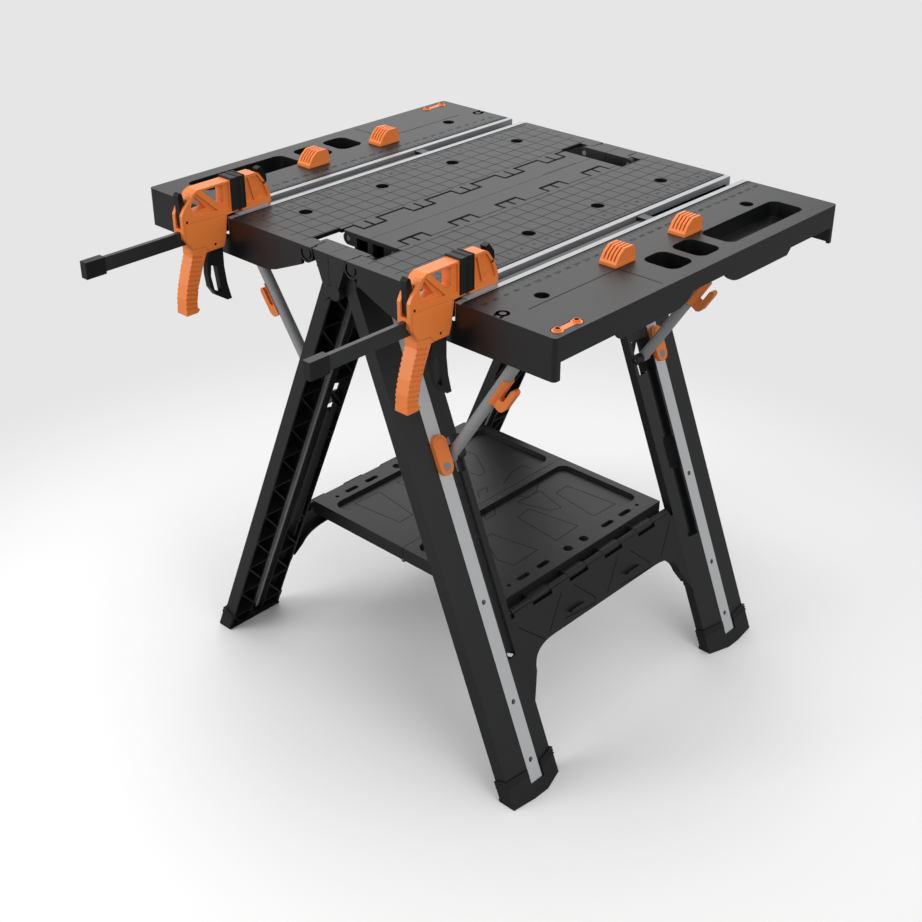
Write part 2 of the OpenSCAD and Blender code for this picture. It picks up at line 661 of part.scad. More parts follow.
/* Shelf half of side s, hinged to its leg frame and to the other half */
shelf_wall = 3;
shelf_border = 14;
shelf_r = 16;
shelf_floor = 3;
shelf_end = 12.5;
mid_r = 4;
mid_knuckles = 8;
strip_hole_x = 20;
strip_hole_y_shares = [0.1, 0.41, 0.645, 0.815];
strip_hole_rs = [7.5, 4.5, 4.5, 3];
strip_hole_ls = [0, 9, 9, 0];
function shelf_hinge(s) = leg_xz(s, shelf_u, shelf_w(s));
module shelf_half(s) {
    h = shelf_hinge(s);
    m = s * mid_x;
    low = shelf_z - shelf_t;
    x1 = s * h.x - shelf_end;
    pitch = 2 * shelf_y / knuckles;
    mid_pitch = 2 * shelf_y / mid_knuckles;
    first = s > 0 ? 0 : 1;
    side(s) difference() {
        union() {
            block([m + seam, x1], [-shelf_y, shelf_y], [low, shelf_z]);
            for (i = [1 : 2 : knuckles - 1]) {
                y0 = -shelf_y + i * pitch;
                rod_y(s * h.x, h.y, [y0 + clear, y0 + pitch - clear], knuckle_r);
                block([x1 - fuse, s * h.x], [y0 + clear, y0 + pitch - clear],
                    [h.y - knuckle_r, h.y + knuckle_r]);
            }
            for (i = [first : 2 : mid_knuckles - 1]) {
                y0 = -shelf_y + i * mid_pitch;
                rod_y(m, low, [y0 + clear, y0 + mid_pitch - clear], mid_r);
                block([m, m + mid_r], [y0 + clear, y0 + mid_pitch - clear], [low, low + mid_r]);
            }
        }
        // Tray in the top
        translate([0, 0, shelf_z - shelf_tray]) linear_extrude(height = shelf_tray + eps)
            round_rect([m + shelf_border, x1 - strip_hole_x - shelf_border],
                [-shelf_y + shelf_border, shelf_y - shelf_border], shelf_r);
        // Hollow underside, in cells
        for (i = [0 : 2], j = [-1 : 1]) {
            x0 = m + 2 * mid_r + i * (x1 - m - 2 * mid_r) / 3;
            x2 = m + 2 * mid_r + (i + 1) * (x1 - m - 2 * mid_r) / 3;
            block([x0 + shelf_wall / 2, x2 - shelf_wall],
                [(j * 2 - 1) * shelf_y / 3 + shelf_wall, (j * 2 + 1) * shelf_y / 3 - shelf_wall],
                [low - eps, shelf_z - shelf_tray - shelf_floor]);
        }
        // Room for the other half's knuckles
        for (i = [1 - first : 2 : mid_knuckles - 1]) {
            y0 = -shelf_y + i * mid_pitch;
            rod_y(m, low, [y0 - clear / 2, y0 + mid_pitch + clear / 2], mid_r + clear);
        }
        rod_y(m, low, [-shelf_y - eps, shelf_y + eps], pin_r / 2 + run);
        rod_y(s * h.x, h.y, [-shelf_y - eps, shelf_y + eps], pin_r / 2 + run);
        // Holes in the end strip
        for (e = [-1, 1], i = [0 : 3])
            translate([x1 - strip_hole_x, e * strip_hole_y_shares[i] * shelf_y, low - eps])
                linear_extrude(height = 2 * shelf_t)
                slot_shape([0, -strip_hole_ls[i] - seam], [0, strip_hole_ls[i] + seam], strip_hole_rs[i]);
    }
}

module shelf_pin(x, z) rod_y(x, z, [-shelf_y + clear, shelf_y - clear], pin_r / 2);

/* Table half: drawn on the right, the left one is turned half round */
knuckle_gap = 3;
table_finger_r = 8.3;
end_edge = 1;
lip_r = 13.2;
lip_in = 10.8;
skirt_x = 130;
skirt_bend_x = 110;
skirt_bend = 52;
skirt_start_x = 54.5;
skirt_start = 29;
ledge = 3;
ledge_t = 2;
slot_wall = 3;
bridge_depth = 11;
bridge_t = 5;
bridge_y = 90;
collar = 3;
collar_depth = 18;
tray_at = half_l - tray_end - tray_long;
tray_step = 21;
tray_wall = 2.5;
pad_back = 14;
pad_front = 10;
pad_x = [tube_top_x - pad_back, tube_top_x + pad_front];
pad_y = 11;
pad_t = 4;
pad_wall = 3;
panel_rib_x = [98, 188, 258];
cross_rib_y = [38, 152];
corner_r = 6;
link_edge = 15.1;
link_ends = [57.2, 21.3];
link_x = half_w - link_edge;
link_y = [half_l - link_ends[0], half_l - link_ends[1]];
link_r = 8;
link_neck = 5;
link_t = 3;
link_boss = 4.5;
link_boss_t = 3;
function slot_in() = track_x - track_gap / 2 - rail_t - seat;
function slot_out() = track_x + track_gap / 2 + rail_t + seat;
function trays() = [[tray_at, tray_at + tray_long], [tray_at - tray_step - tray_short, tray_at - tray_step],
    [tray_at - tray_step - 2 * tray_short - tray_gap, tray_at - tray_step - tray_short - tray_gap]];
// Lower edge of the outer wall from the middle to the end
function side_edge() = concat([[0, table_h - skirt_mid + skirt_rise]],
    curve([skirt_arch / 2, table_h - skirt_mid + skirt_rise], [skirt_arch * 2 / 3, table_h - skirt_mid],
        [skirt_arch, table_h - skirt_mid], 6),
    [[foot_in - 2 * clear - skirt_mid + skirt_leg, table_h - skirt_mid],
        [foot_in - 2 * clear, table_h - skirt_leg], [foot_y + clear, table_h - skirt_leg],
        [foot_y + clear, table_h - skirt_deep], [half_l, table_h - skirt_deep]]);

module finger_rods(r) for (i = [-finger_groups : finger_groups], e = [-1, 1]) {
    y0 = i * finger_pitch + (e > 0 ? knuckle_gap / 2 : -finger_half + knuckle_gap);
    rod_y(hinge_x, hinge_z, [y0, y0 + finger_half - knuckle_gap * 3 / 2], r);
}

module plate_shape(s) {
    edge = notch(s);
    translate([edge, -hand_y0]) square([half_w - corner_r - edge, 2 * hand_y0]);
    translate([half_w - corner_r - eps, -half_l + corner_r])
        square([corner_r + eps, table_l - 2 * corner_r]);
    for (e = [-1, 1]) {
        translate([half_w - corner_r, e * (half_l - corner_r)]) circle(r = corner_r);
        translate([hand_l / 2, e > 0 ? hand_y0 - eps : -half_l])
            square([half_w - corner_r - hand_l / 2, half_l - hand_y0 + eps]);
        translate([beam_x + end_edge, e > 0 ? hand_y1 + lug_l + end_edge : -half_l])
            square([hand_l / 2 - beam_x - end_edge + eps, half_l - hand_y1 - lug_l - end_edge]);
    }
    for (i = [-finger_groups : finger_groups], e = [-1, 1])
        translate([beam_x, i * finger_pitch + (e > 0 ? knuckle_gap / 2 : -finger_half + knuckle_gap)])
            square([edge - beam_x + eps, finger_half - knuckle_gap * 3 / 2]);
}

module dog_holes(r, z) for (x = [dog_in_x, dog_out_x], j = [-3 / 2, -1 / 2, 1 / 2, 3 / 2])
    translate([x, j * dog_pitch, z[0]]) cylinder(r = r, h = z[1] - z[0]);

module end_wall() along_y([half_l - wall_t, half_l]) polygon([[skirt_start_x, table_h - seam],
    [half_w - corner_r, table_h - seam], [half_w - corner_r, table_h - skirt_deep],
    [skirt_x, table_h - skirt_deep], [skirt_bend_x, table_h - skirt_bend],
    [skirt_start_x, table_h - skirt_start]]);

module corner_post() difference() {
    translate([half_w - corner_r, half_l - corner_r, table_h - skirt_deep])
        cylinder(r = corner_r, h = skirt_deep - seam);
    translate([half_w - corner_r, half_l - corner_r, table_h - skirt_deep - eps])
        cylinder(r = corner_r - wall_t, h = skirt_deep);
    block([0, half_w - corner_r], [0, half_l], [0, table_h + eps]);
    block([0, half_w], [0, half_l - corner_r], [0, table_h + eps]);
}

module table_half(s) {
    zs = table_h - tube_top_drop + tube_d / 2 * cos(tube_rise(s)) + seat;
    half_turn(s) difference() {
        union() {
            translate([0, 0, plate_z]) linear_extrude(height = plate_t) plate_shape(s);
            // Outer walls
            both_ends() {
                end_wall();
                corner_post();
                along_x([half_w - wall_t, half_w]) intersection() {
                    polygon(concat(side_edge(), [[half_l, table_h - seam], [0, table_h - seam]]));
                    square([half_l - corner_r, table_h]);
                }
            }
            // Hinge knuckles
            difference() {
                finger_rods(table_finger_r);
                block([0, far_out], [-far_out, far_out], [plate_z + eps, far_out]);
            }
            both_ends() intersection() {
                union() {
                    rod_y(hinge_x, hinge_z, [hand_y1 + lug_l + end_edge, half_l - wall_t], lip_in);
                    rod_y(hinge_x, hinge_z, [half_l - wall_t - fuse, half_l - seam], boss_r);
                    difference() {
                        rod_y(hinge_x, hinge_z, [half_l - 2 * wall_t, half_l], lip_r);
                        rod_y(hinge_x, hinge_z, [half_l - wall_t, half_l + eps], lip_in);
                    }
                }
                block([0, half_w], [0, half_l], [0, table_h]);
            }
            // Track walls with the ledges the rails stand on
            for (x = [[slot_in() - slot_wall, slot_in() + ledge], [slot_out() - ledge, slot_out() + slot_wall]])
                block(x, [-half_l + eps, half_l - eps], [table_h - track_depth, plate_z + fuse]);
            // Ribs that tie the two sides of the track together from below
            for (y = [-bridge_y * 2, -bridge_y, 0, bridge_y, bridge_y * 2])
                block([slot_in() - 3 * slot_wall, slot_out() + 3 * slot_wall],
                    [y - bridge_t / 2, y + bridge_t / 2],
                    [table_h - track_depth - bridge_depth, plate_z + fuse]);
            for (x = panel_rib_x) block([x, x + slot_wall], [-half_l + eps, half_l - eps],
                [plate_z - rib_depth, plate_z + fuse]);
            for (e = [-1, 1], y = cross_rib_y) block([notch(s) + eps + rib_depth, half_w - eps],
                [e * y - slot_wall / 2, e * y + slot_wall / 2], [plate_z - rib_depth, plate_z + fuse]);
            dog_holes(dog_r + collar, [table_h - collar_depth, plate_z + fuse]);
            for (t = trays()) block([tray_x - tray_w / 2 - tray_wall, tray_x + tray_w / 2 + tray_wall],
                [t[0] - tray_wall, t[1] + tray_wall], [table_h - tray_depth - tray_wall, plate_z + fuse]);
            // Seats of the support tubes
            for (e = [-1, 1]) {
                block(pad_x, [e * tube_y - pad_y, e * tube_y + pad_y], [zs, zs + pad_t]);
                for (f = [-1, 1]) block(pad_x, [e * tube_y + f * pad_y - pad_wall / 2,
                    e * tube_y + f * pad_y + pad_wall / 2], [zs, plate_z + fuse]);
            }
        }
        // Track slot with the rebates of the rails
        block([slot_in(), slot_out()], [-far_out, far_out], [table_h - track_depth + ledge_t, table_h + eps]);
        block([slot_in() + ledge, slot_out() - ledge], [-far_out, far_out],
            [table_h - track_depth - eps, table_h + eps]);
        block([track_x - track_gap / 2 - rail_face - seat, track_x + track_gap / 2 + rail_face + seat],
            [-far_out, far_out], [table_h - rail_t - seat, table_h + eps]);
        dog_holes(dog_r, [table_h - collar_depth - eps, table_h + eps]);
        for (t = trays()) translate([0, 0, table_h - tray_depth]) linear_extrude(height = tray_depth + eps)
            round_rect([tray_x - tray_w / 2, tray_x + tray_w / 2], t, tray_r);
        finger_bore = pin_r + run;
        rod_y(hinge_x, hinge_z, [-hand_y0, hand_y0], finger_bore);
        both_ends() rod_y(hinge_x, hinge_z, [hand_y1, half_l - wall_t], finger_bore);
        // Rebate of the link plate
        translate([link_x, 0, table_h - link_t - seat]) linear_extrude(height = link_t + 2 * seat)
            link_shape(seat);
    }
}

module track_rails(s) {
    l = half_l - seam;
    half_turn(s) for (f = [0, 1]) translate([track_x, 0, 0]) mirror([f, 0, 0]) {
        block([track_gap / 2, track_gap / 2 + rail_face], [-l, l], [table_h - rail_t, table_h]);
        block([track_gap / 2, track_gap / 2 + rail_t], [-l, l],
            [table_h - track_depth + ledge_t + seat, table_h]);
    }
}

module table_pins(s) half_turn(s) {
    rod_y(hinge_x, hinge_z, [-hand_y0 + clear, hand_y0 - clear], pin_r);
    both_ends() rod_y(hinge_x, hinge_z, [hand_y1 + seam, half_l - wall_t - seat], pin_r);
}

// Outline of a link plate, grown by g: two round ends on a narrower neck
module link_shape(g) {
    for (y = link_y) translate([0, -y]) circle(r = link_r + g);
    translate([-link_neck - g, -link_y[1]]) square([2 * (link_neck + g), link_y[1] - link_y[0]]);
}

module link_plate(s) half_turn(s) difference() {
    union() {
        translate([link_x, 0, table_h - link_t]) linear_extrude(height = link_t) link_shape(0);
        for (y = link_y) translate([link_x, -y, table_h - link_t]) cylinder(r = link_boss, h = link_t + link_boss_t);
    }
    for (y = link_y) translate([link_x, -y, table_h]) cylinder(r = link_boss / 2, h = 2 * link_boss_t);
}

/* Bench dog: a sloped head cut into fins, on a round peg */
dog_w = 28;
dog_h = 23;
dog_y = [-21, 21.5];
dog_base = 4;
dog_fins = 5;
dog_slot = 2.4;
dog_slot_floor = 7;
dog_peg = 20;
dog_profile = [[-20.6, 4], [-13, 15.5], [-3, 23], [15, 23], [20, 18], [20.8, 9.5], [20.8, 4]];
module dog(s, e) translate([s * dog_out_x, e * dog_pitch / 2, table_h + seat]) {
    difference() {
        union() {
            block([-dog_w / 2, dog_w / 2], dog_y, [0, dog_base + fuse]);
            along_x([-dog_w / 2 + seam, dog_w / 2 - seam]) polygon(dog_profile);
        }
        // Slots between the fins, open at the front and the top
        for (i = [1 : dog_fins - 1]) {
            x = -dog_w / 2 + i * dog_w / dog_fins;
            block([x - dog_slot / 2, x + dog_slot / 2], [dog_y[0] - eps, dog_y[1] - dog_slot],
                [dog_slot_floor, dog_h + eps]);
        }
    }
    translate([0, 0, -dog_peg]) cylinder(r = dog_r - run, h = dog_peg + eps);
}

/* Clamp: outlines in Y and Z as shares of its reference length, from the table's near top edge */
clamp_shares = [[-0.775, -0.14], [-0.78, 0.2], [-0.725, 0.3], [-0.67, 0.34], [-0.61, 0.4], [-0.56, 0.475],
    [-0.485, 0.512], [0.2, 0.515], [0.2, 0.04], [-0.01, 0.03], [-0.022, -0.1], [-0.05, -0.3], [-0.095, -0.42],
    [-0.42, -0.42], [-0.518, -0.64], [-0.604, -0.865], [-0.656, -1.086], [-0.66, -1.18], [-0.625, -1.225],
    [-0.665, -1.262], [-0.857, -1.262], [-0.842, -1.02], [-0.795, -0.82], [-0.722, -0.59], [-0.664, -0.43],
    [-0.66, -0.33], [-0.7, -0.235]];
window_shares = [[[-0.382, 0.468], [-0.03, 0.468], [-0.03, 0.215], [-0.06, 0.19], [-0.113, 0.21]],
    [[-0.529, 0.447], [-0.342, 0.215], [-0.568, 0.194], [-0.6, 0.3]]];
web_shares = [[[-0.505, 0.465], [-0.16, 0.135], [-0.59, 0.16], [-0.615, 0.31]],
    [[-0.412, 0.485], [0.06, 0.485], [0.06, 0.12], [-0.05, 0.12], [-0.09, 0.16]]];
panel_shares = [[-0.752, 0.075], [-0.03, 0.047], [-0.022, -0.1], [-0.05, -0.3], [-0.095, -0.42],
    [-0.37, -0.42], [-0.45, -0.335], [-0.652, -0.325], [-0.752, -0.16]];
panel_line = 1.2;
grip_shares = [[-0.55, -0.4], [-0.745, -1.19]];
grip_grooves = 12;
grip_groove = 2.6;
grip_deep = 1.1;
grip_reach = 15;
grip_rim = 6;
trigger_shares = [[-0.34, -0.31], [-0.14, -0.31], [-0.085, -0.5], [-0.086, -0.74], [-0.057, -1.0],
    [0.005, -1.26], [-0.077, -1.26], [-0.272, -1.13], [-0.36, -0.99], [-0.385, -0.78], [-0.375, -0.6],
    [-0.34, -0.5]];
trigger_slot_shares = [[-0.315, -0.66], [-0.215, -0.7], [-0.185, -0.95], [-0.165, -1.12], [-0.29, -1.05],
    [-0.335, -0.82]];
trigger_room_shares = [[-0.41, -0.28], [-0.12, -0.28], [-0.05, -0.42], [-0.05, -1.4], [-0.41, -1.4]];
trigger_at_shares = [-0.25, -0.34];
lever_shares = [[-0.75, 0.03], [-0.66, 0.03], [-0.66, 0.3], [-0.7, 0.49], [-0.735, 0.52], [-0.775, 0.48],
    [-0.76, 0.25]];
lever_at_shares = [-0.7, 0.1];
lever_cut_shares = [[-0.85, 0.0], [-0.62, 0.0], [-0.62, 0.385], [-0.85, 0.6]];
jaw_shares = [[0.27, 0.515], [0.55, 0.515], [0.61, 0.49], [0.72, 0.34], [0.8, 0.155], [0.805, -0.03],
    [0.79, -0.12], [0.79, -0.255], [0.27, -0.255]];
jaw_relief_shares = [[[0.37, 0.12], [0.37, 0.47], [0.41, 0.47], [0.5, 0.12]],
    [[0.45, 0.47], [0.58, 0.47], [0.67, 0.35], [0.745, 0.17], [0.745, 0.12], [0.54, 0.12]]];
jaw_boss_shares = [0.545, 0.24];
jaw_boss_r = 4;
jaw_lever_shares = [[0.63, 0.53], [0.7, 0.55], [0.79, 0.43], [0.8, 0.31], [0.7, 0.28]];
jaw_lever_at_shares = [0.7, 0.33];
jaw_cut_shares = [[0.58, 0.25], [0.86, 0.25], [0.86, 0.65], [0.58, 0.65]];
pad_shares = [[0.085, 0.065], [0.23, 0.065], [0.23, 0.54], [0.085, 0.54]];
jaw_pad_shares = [[0.234, 0.065], [0.335, 0.065], [0.335, 0.54], [0.234, 0.54]];
pad_seat_share = 0.2;
jaw_seat_share = 0.27;
foot_plate_shares = [0.15, 0.715];
cap_l = 31;
cap_over = 1.85;
block_share = 0.16;
tongue_t = 5;
pivot_r = 2;
clamp_pad_t = 2;
foot_plate_t = 2;
foot_plate_w = 18;
block_w = 18;
jaw_w = 20;
relief_t = 3;
module clamp_at(s) translate([s * track_x, -half_l, table_h]) children();
module drawn(x, shares) along_x(x) polygon(scaled(shares, clamp_l, clamp_l));
module pivot_bore(shares, r) rod_x([-clamp_w, clamp_w], shares.x * clamp_l, shares.y * clamp_l, r);
module bar_hole() block([-bar_t / 2 - seat, bar_t / 2 + seat], [-far_out, far_out],
    [-bar_drop - bar_h - seat, -bar_drop + seat]);

module clamp_body(s) clamp_at(s) difference() {
    drawn([-clamp_w / 2, clamp_w / 2], clamp_shares);
    for (w = window_shares) drawn([-clamp_w, clamp_w], w);
    // On both sides: webs set back in the truss, a line round the raised panel, and grooves in the grip
    for (f = [0, 1]) mirror([f, 0, 0]) {
        for (w = web_shares) drawn([clamp_w / 2 - relief_t, clamp_w], w);
        along_x([clamp_w / 2 - panel_line / 2, clamp_w]) difference() {
            polygon(scaled(panel_shares, clamp_l, clamp_l));
            offset(delta = -panel_line) polygon(scaled(panel_shares, clamp_l, clamp_l));
        }
        for (i = [1 : grip_grooves]) {
            at = (grip_shares[0] + (grip_shares[1] - grip_shares[0]) * i / grip_grooves) * clamp_l;
            axis = grip_shares[1] - grip_shares[0];
            translate([clamp_w / 2 - grip_deep, at.x, at.y]) rotate([atan2(axis.x, -axis.y), 0, 0])
                block([0, clamp_w], [-grip_reach, grip_rim], [0, grip_groove]);
        }
    }
    drawn([-tongue_t - seam, tongue_t + seam], lever_cut_shares);
    pivot_bore(lever_at_shares, pivot_r + run);
    drawn([-tongue_t - seam, tongue_t + seam], trigger_room_shares);
    pivot_bore(trigger_at_shares, pivot_r + run);
    bar_hole();
}

module clamp_trigger(s) clamp_at(s) difference() {
    union() {
        drawn([-tongue_t, tongue_t], trigger_shares);
        rod_x([-clamp_w / 2 + seam, clamp_w / 2 - seam], trigger_at_shares.x * clamp_l,
            trigger_at_shares.y * clamp_l, pivot_r);
    }
    drawn([-clamp_w, clamp_w], trigger_slot_shares);
}

module clamp_lever(s) clamp_at(s) {
    drawn([-tongue_t, tongue_t], lever_shares);
    rod_x([-clamp_w / 2 + seam, clamp_w / 2 - seam], lever_at_shares.x * clamp_l,
        lever_at_shares.y * clamp_l, pivot_r);
}

module clamp_pad(s) clamp_at(s) difference() {
    drawn([-clamp_w / 2 - clamp_pad_t, clamp_w / 2 + clamp_pad_t], pad_shares);
    block([-clamp_w / 2 - seat, clamp_w / 2 + seat], [-clamp_l, pad_seat_share * clamp_l + seat],
        [0, (clamp_shares[6].y + clamp_shares[7].y) / 2 * clamp_l + seat]);
}

module clamp_bar(s) clamp_at(s) block([-bar_t / 2, bar_t / 2],
    [-bar_out + eps, half_l + bar_in], [-bar_drop - bar_h, -bar_drop]);

module bar_ends(s) clamp_at(s) difference() {
    union() {
        block([-bar_t / 2 - pad_wall, bar_t / 2 + pad_wall],
            [-bar_out, -bar_out + cap_l], [-bar_drop - bar_h - cap_over, -bar_drop + cap_over]);
        block([-block_w / 2, block_w / 2], [half_l + bar_in - block_share * clamp_l / 2,
            half_l + bar_in + block_share * clamp_l / 2], [-track_depth + ledge_t + seat, -eps]);
    }
    block([-bar_t / 2 - seat, bar_t / 2 + seat], [-bar_out + eps - seat, half_l + bar_in + seat],
        [-bar_drop - bar_h - seat, -bar_drop + seat]);
}

module jaw(s) clamp_at(s) difference() {
    union() {
        intersection() {
            drawn([-clamp_w / 2, clamp_w / 2], jaw_shares);
            block([-clamp_w, clamp_w], [-clamp_l, clamp_l], [foot_plate_t + 2 * seat, clamp_l]);
        }
        intersection() {
            drawn([-jaw_w / 2, jaw_w / 2], jaw_shares);
            block([-clamp_w, clamp_w], [-clamp_l, clamp_l], [-clamp_l, foot_plate_t + 2 * seat + fuse]);
        }
    }
    // Hollows in both sides, with a boss standing in each
    for (f = [0, 1]) mirror([f, 0, 0]) difference() {
        for (w = jaw_relief_shares) drawn([clamp_w / 2 - relief_t, clamp_w], w);
        rod_x([0, clamp_w / 2 - relief_t / 3], jaw_boss_shares.x * clamp_l, jaw_boss_shares.y * clamp_l,
            jaw_boss_r);
    }
    drawn([-tongue_t - seam, tongue_t + seam], jaw_cut_shares);
    pivot_bore(jaw_lever_at_shares, pivot_r + run);
    bar_hole();
}

module jaw_pad(s) clamp_at(s) difference() {
    drawn([-clamp_w / 2 - clamp_pad_t, clamp_w / 2 + clamp_pad_t], jaw_pad_shares);
    block([-clamp_w / 2 - seat, clamp_w / 2 + seat], [jaw_seat_share * clamp_l - seat, clamp_l],
        [0, jaw_shares[0].y * clamp_l + seat]);
}

module jaw_foot(s) clamp_at(s) difference() {
    block([-foot_plate_w, foot_plate_w], foot_plate_shares * clamp_l, [seat, seat + foot_plate_t]);
    block([-jaw_w / 2 - seat, jaw_w / 2 + seat], [jaw_seat_share * clamp_l - seat, clamp_l], [0, clamp_l]);
}

module jaw_lever(s) clamp_at(s) {
    drawn([-tongue_t, tongue_t], jaw_lever_shares);
    rod_x([-clamp_w / 2 + seam, clamp_w / 2 - seam], jaw_lever_at_shares.x * clamp_l,
        jaw_lever_at_shares.y * clamp_l, pivot_r);
}

// One module for each piece
module leg_frame_left() color("#2b2d30") place() leg_frame(-1);
module leg_frame_right() color("#2b2d30") place() leg_frame(1);
module leg_rail_near_left() color("#c9ccd0") place() leg_rail(-1, -1);
module leg_rail_near_right() color("#c9ccd0") place() leg_rail(1, -1);
module leg_rail_far_left() color("#c9ccd0") place() leg_rail(-1, 1);
module leg_rail_far_right() color("#c9ccd0") place() leg_rail(1, 1);
module foot_caps_left() color("#1d1f21") place() {
        foot_cap(-1, -1);
        foot_cap(-1, 1);
    }
module foot_caps_right() color("#1d1f21") place() {
        foot_cap(1, -1);
        foot_cap(1, 1);
    }
module table_left() color("#2b2d30") place() table_half(-1);
module table_right() color("#2b2d30") place() table_half(1);
module track_rails_left() color("#c9ccd0") place() track_rails(-1);
module track_rails_right() color("#c9ccd0") place() track_rails(1);
module table_pins_left() color("#9a9da0") place() table_pins(-1);
module table_pins_right() color("#9a9da0") place() table_pins(1);
module link_plate_left() color("#f0621e") place() link_plate(-1);
module link_plate_right() color("#f0621e") place() link_plate(1);
module support_tube_near_left() color("#9a9da0") place() support_tube(-1, -1);
module support_tube_near_right() color("#9a9da0") place() support_tube(1, -1);
module support_tube_far_left() color("#9a9da0") place() support_tube(-1, 1);
module support_tube_far_right() color("#9a9da0") place() support_tube(1, 1);
module tube_hook_near_left() color("#f0621e") place() tube_hook(-1, -1);
module tube_hook_near_right() color("#f0621e") place() tube_hook(1, -1);
module tube_hook_far_left() color("#f0621e") place() tube_hook(-1, 1);
module tube_hook_far_right() color("#f0621e") place() tube_hook(1, 1);
module latch_near_left() color("#f0621e") place() latch(-1, -1);
module latch_near_right() color("#f0621e") place() latch(1, -1);
module latch_far_left() color("#f0621e") place() latch(-1, 1);
module latch_far_right() color("#f0621e") place() latch(1, 1);
module leg_screws_left() color("#9a9da0") place() leg_screws(-1);
module leg_screws_right() color("#9a9da0") place() leg_screws(1);
module shelf_left() color("#2b2d30") place() shelf_half(-1);
module shelf_right() color("#2b2d30") place() shelf_half(1);
module shelf_pin_left() color("#9a9da0") place() shelf_pin(shelf_hinge(-1).x, shelf_hinge(-1).y);
module shelf_pin_middle() color("#9a9da0") place() shelf_pin(mid_x, shelf_z - shelf_t);
module shelf_pin_right() color("#9a9da0") place() shelf_pin(shelf_hinge(1).x, shelf_hinge(1).y);
module dog_near_left() color("#f0621e") place() dog(-1, -1);
module dog_far_left() color("#f0621e") place() dog(-1, 1);
module dog_near_right() color("#f0621e") place() dog(1, -1);
module dog_far_right() color("#f0621e") place() dog(1, 1);
module clamp_body_left() color("#f0621e") place() clamp_body(-1);
module clamp_pad_left() color("#1d1f21") place() clamp_pad(-1);
module clamp_trigger_left() color("#1d1f21") place() clamp_trigger(-1);
module clamp_lever_left() color("#1d1f21") place() clamp_lever(-1);
module clamp_bar_left() color("#1d1f21") place() clamp_bar(-1);
module bar_ends_left() color("#1d1f21") place() bar_ends(-1);
module jaw_left() color("#f0621e") place() jaw(-1);
module jaw_pad_left() color("#1d1f21") place() jaw_pad(-1);
module jaw_foot_left() color("#9a9da0") place() jaw_foot(-1);
module jaw_lever_left() color("#1d1f21") place() jaw_lever(-1);
module clamp_body_right() color("#f0621e") place() clamp_body(1);
module clamp_pad_right() color("#1d1f21") place() clamp_pad(1);
module clamp_trigger_right() color("#1d1f21") place() clamp_trigger(1);
module clamp_lever_right() color("#1d1f21") place() clamp_lever(1);
module clamp_bar_right() color("#1d1f21") place() clamp_bar(1);
module bar_ends_right() color("#1d1f21") place() bar_ends(1);
module jaw_right() color("#f0621e") place() jaw(1);
module jaw_pad_right() color("#1d1f21") place() jaw_pad(1);
module jaw_foot_right() color("#9a9da0") place() jaw_foot(1);
module jaw_lever_right() color("#1d1f21") place() jaw_lever(1);

leg_frame_left();
leg_frame_right();
leg_rail_near_left();
leg_rail_near_right();
leg_rail_far_left();
leg_rail_far_right();
foot_caps_left();
foot_caps_right();
table_left();
table_right();
track_rails_left();
track_rails_right();
table_pins_left();
table_pins_right();
link_plate_left();
link_plate_right();
support_tube_near_left();
support_tube_near_right();
support_tube_far_left();
support_tube_far_right();
tube_hook_near_left();
tube_hook_near_right();
tube_hook_far_left();
tube_hook_far_right();
latch_near_left();
latch_near_right();
latch_far_left();
latch_far_right();
leg_screws_left();
leg_screws_right();
shelf_left();
shelf_right();
shelf_pin_left();
shelf_pin_middle();
shelf_pin_right();
dog_near_left();
dog_far_left();
dog_near_right();
dog_far_right();
clamp_body_left();
clamp_pad_left();
clamp_trigger_left();
clamp_lever_left();
clamp_bar_left();
bar_ends_left();
jaw_left();
jaw_pad_left();
jaw_foot_left();
jaw_lever_left();
clamp_body_right();
clamp_pad_right();
clamp_trigger_right();
clamp_lever_right();
clamp_bar_right();
bar_ends_right();
jaw_right();
jaw_pad_right();
jaw_foot_right();
jaw_lever_right();
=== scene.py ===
"""Looks of the folding workbench: mouldings, rails, tubes and clamps in their real finishes."""
import json
import math

import bpy
import numpy as np
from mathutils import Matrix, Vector


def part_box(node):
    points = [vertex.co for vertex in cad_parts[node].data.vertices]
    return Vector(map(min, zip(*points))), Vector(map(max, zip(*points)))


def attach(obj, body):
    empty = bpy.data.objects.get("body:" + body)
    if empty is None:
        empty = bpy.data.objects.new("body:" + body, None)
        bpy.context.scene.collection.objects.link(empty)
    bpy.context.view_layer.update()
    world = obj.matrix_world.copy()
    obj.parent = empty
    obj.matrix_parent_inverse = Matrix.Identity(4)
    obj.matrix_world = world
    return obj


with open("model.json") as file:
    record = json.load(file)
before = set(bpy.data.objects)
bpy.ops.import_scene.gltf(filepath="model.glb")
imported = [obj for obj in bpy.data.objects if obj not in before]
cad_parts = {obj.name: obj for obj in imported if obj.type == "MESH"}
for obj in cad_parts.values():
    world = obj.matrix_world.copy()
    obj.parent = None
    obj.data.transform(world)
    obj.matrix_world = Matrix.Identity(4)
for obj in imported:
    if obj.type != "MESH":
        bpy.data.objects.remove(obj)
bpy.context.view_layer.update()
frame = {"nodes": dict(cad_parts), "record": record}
record = frame["record"]

MM = 0.001
IN = 0.0254


def linear(code):
    """sRGB hex to the linear values that a shader takes."""
    v = np.array([int(code[i:i + 2], 16) for i in (0, 2, 4)]) / 255
    return tuple(np.where(v <= 0.04045, v / 12.92, ((v + 0.055) / 1.055) ** 2.4)) + (1.0,)


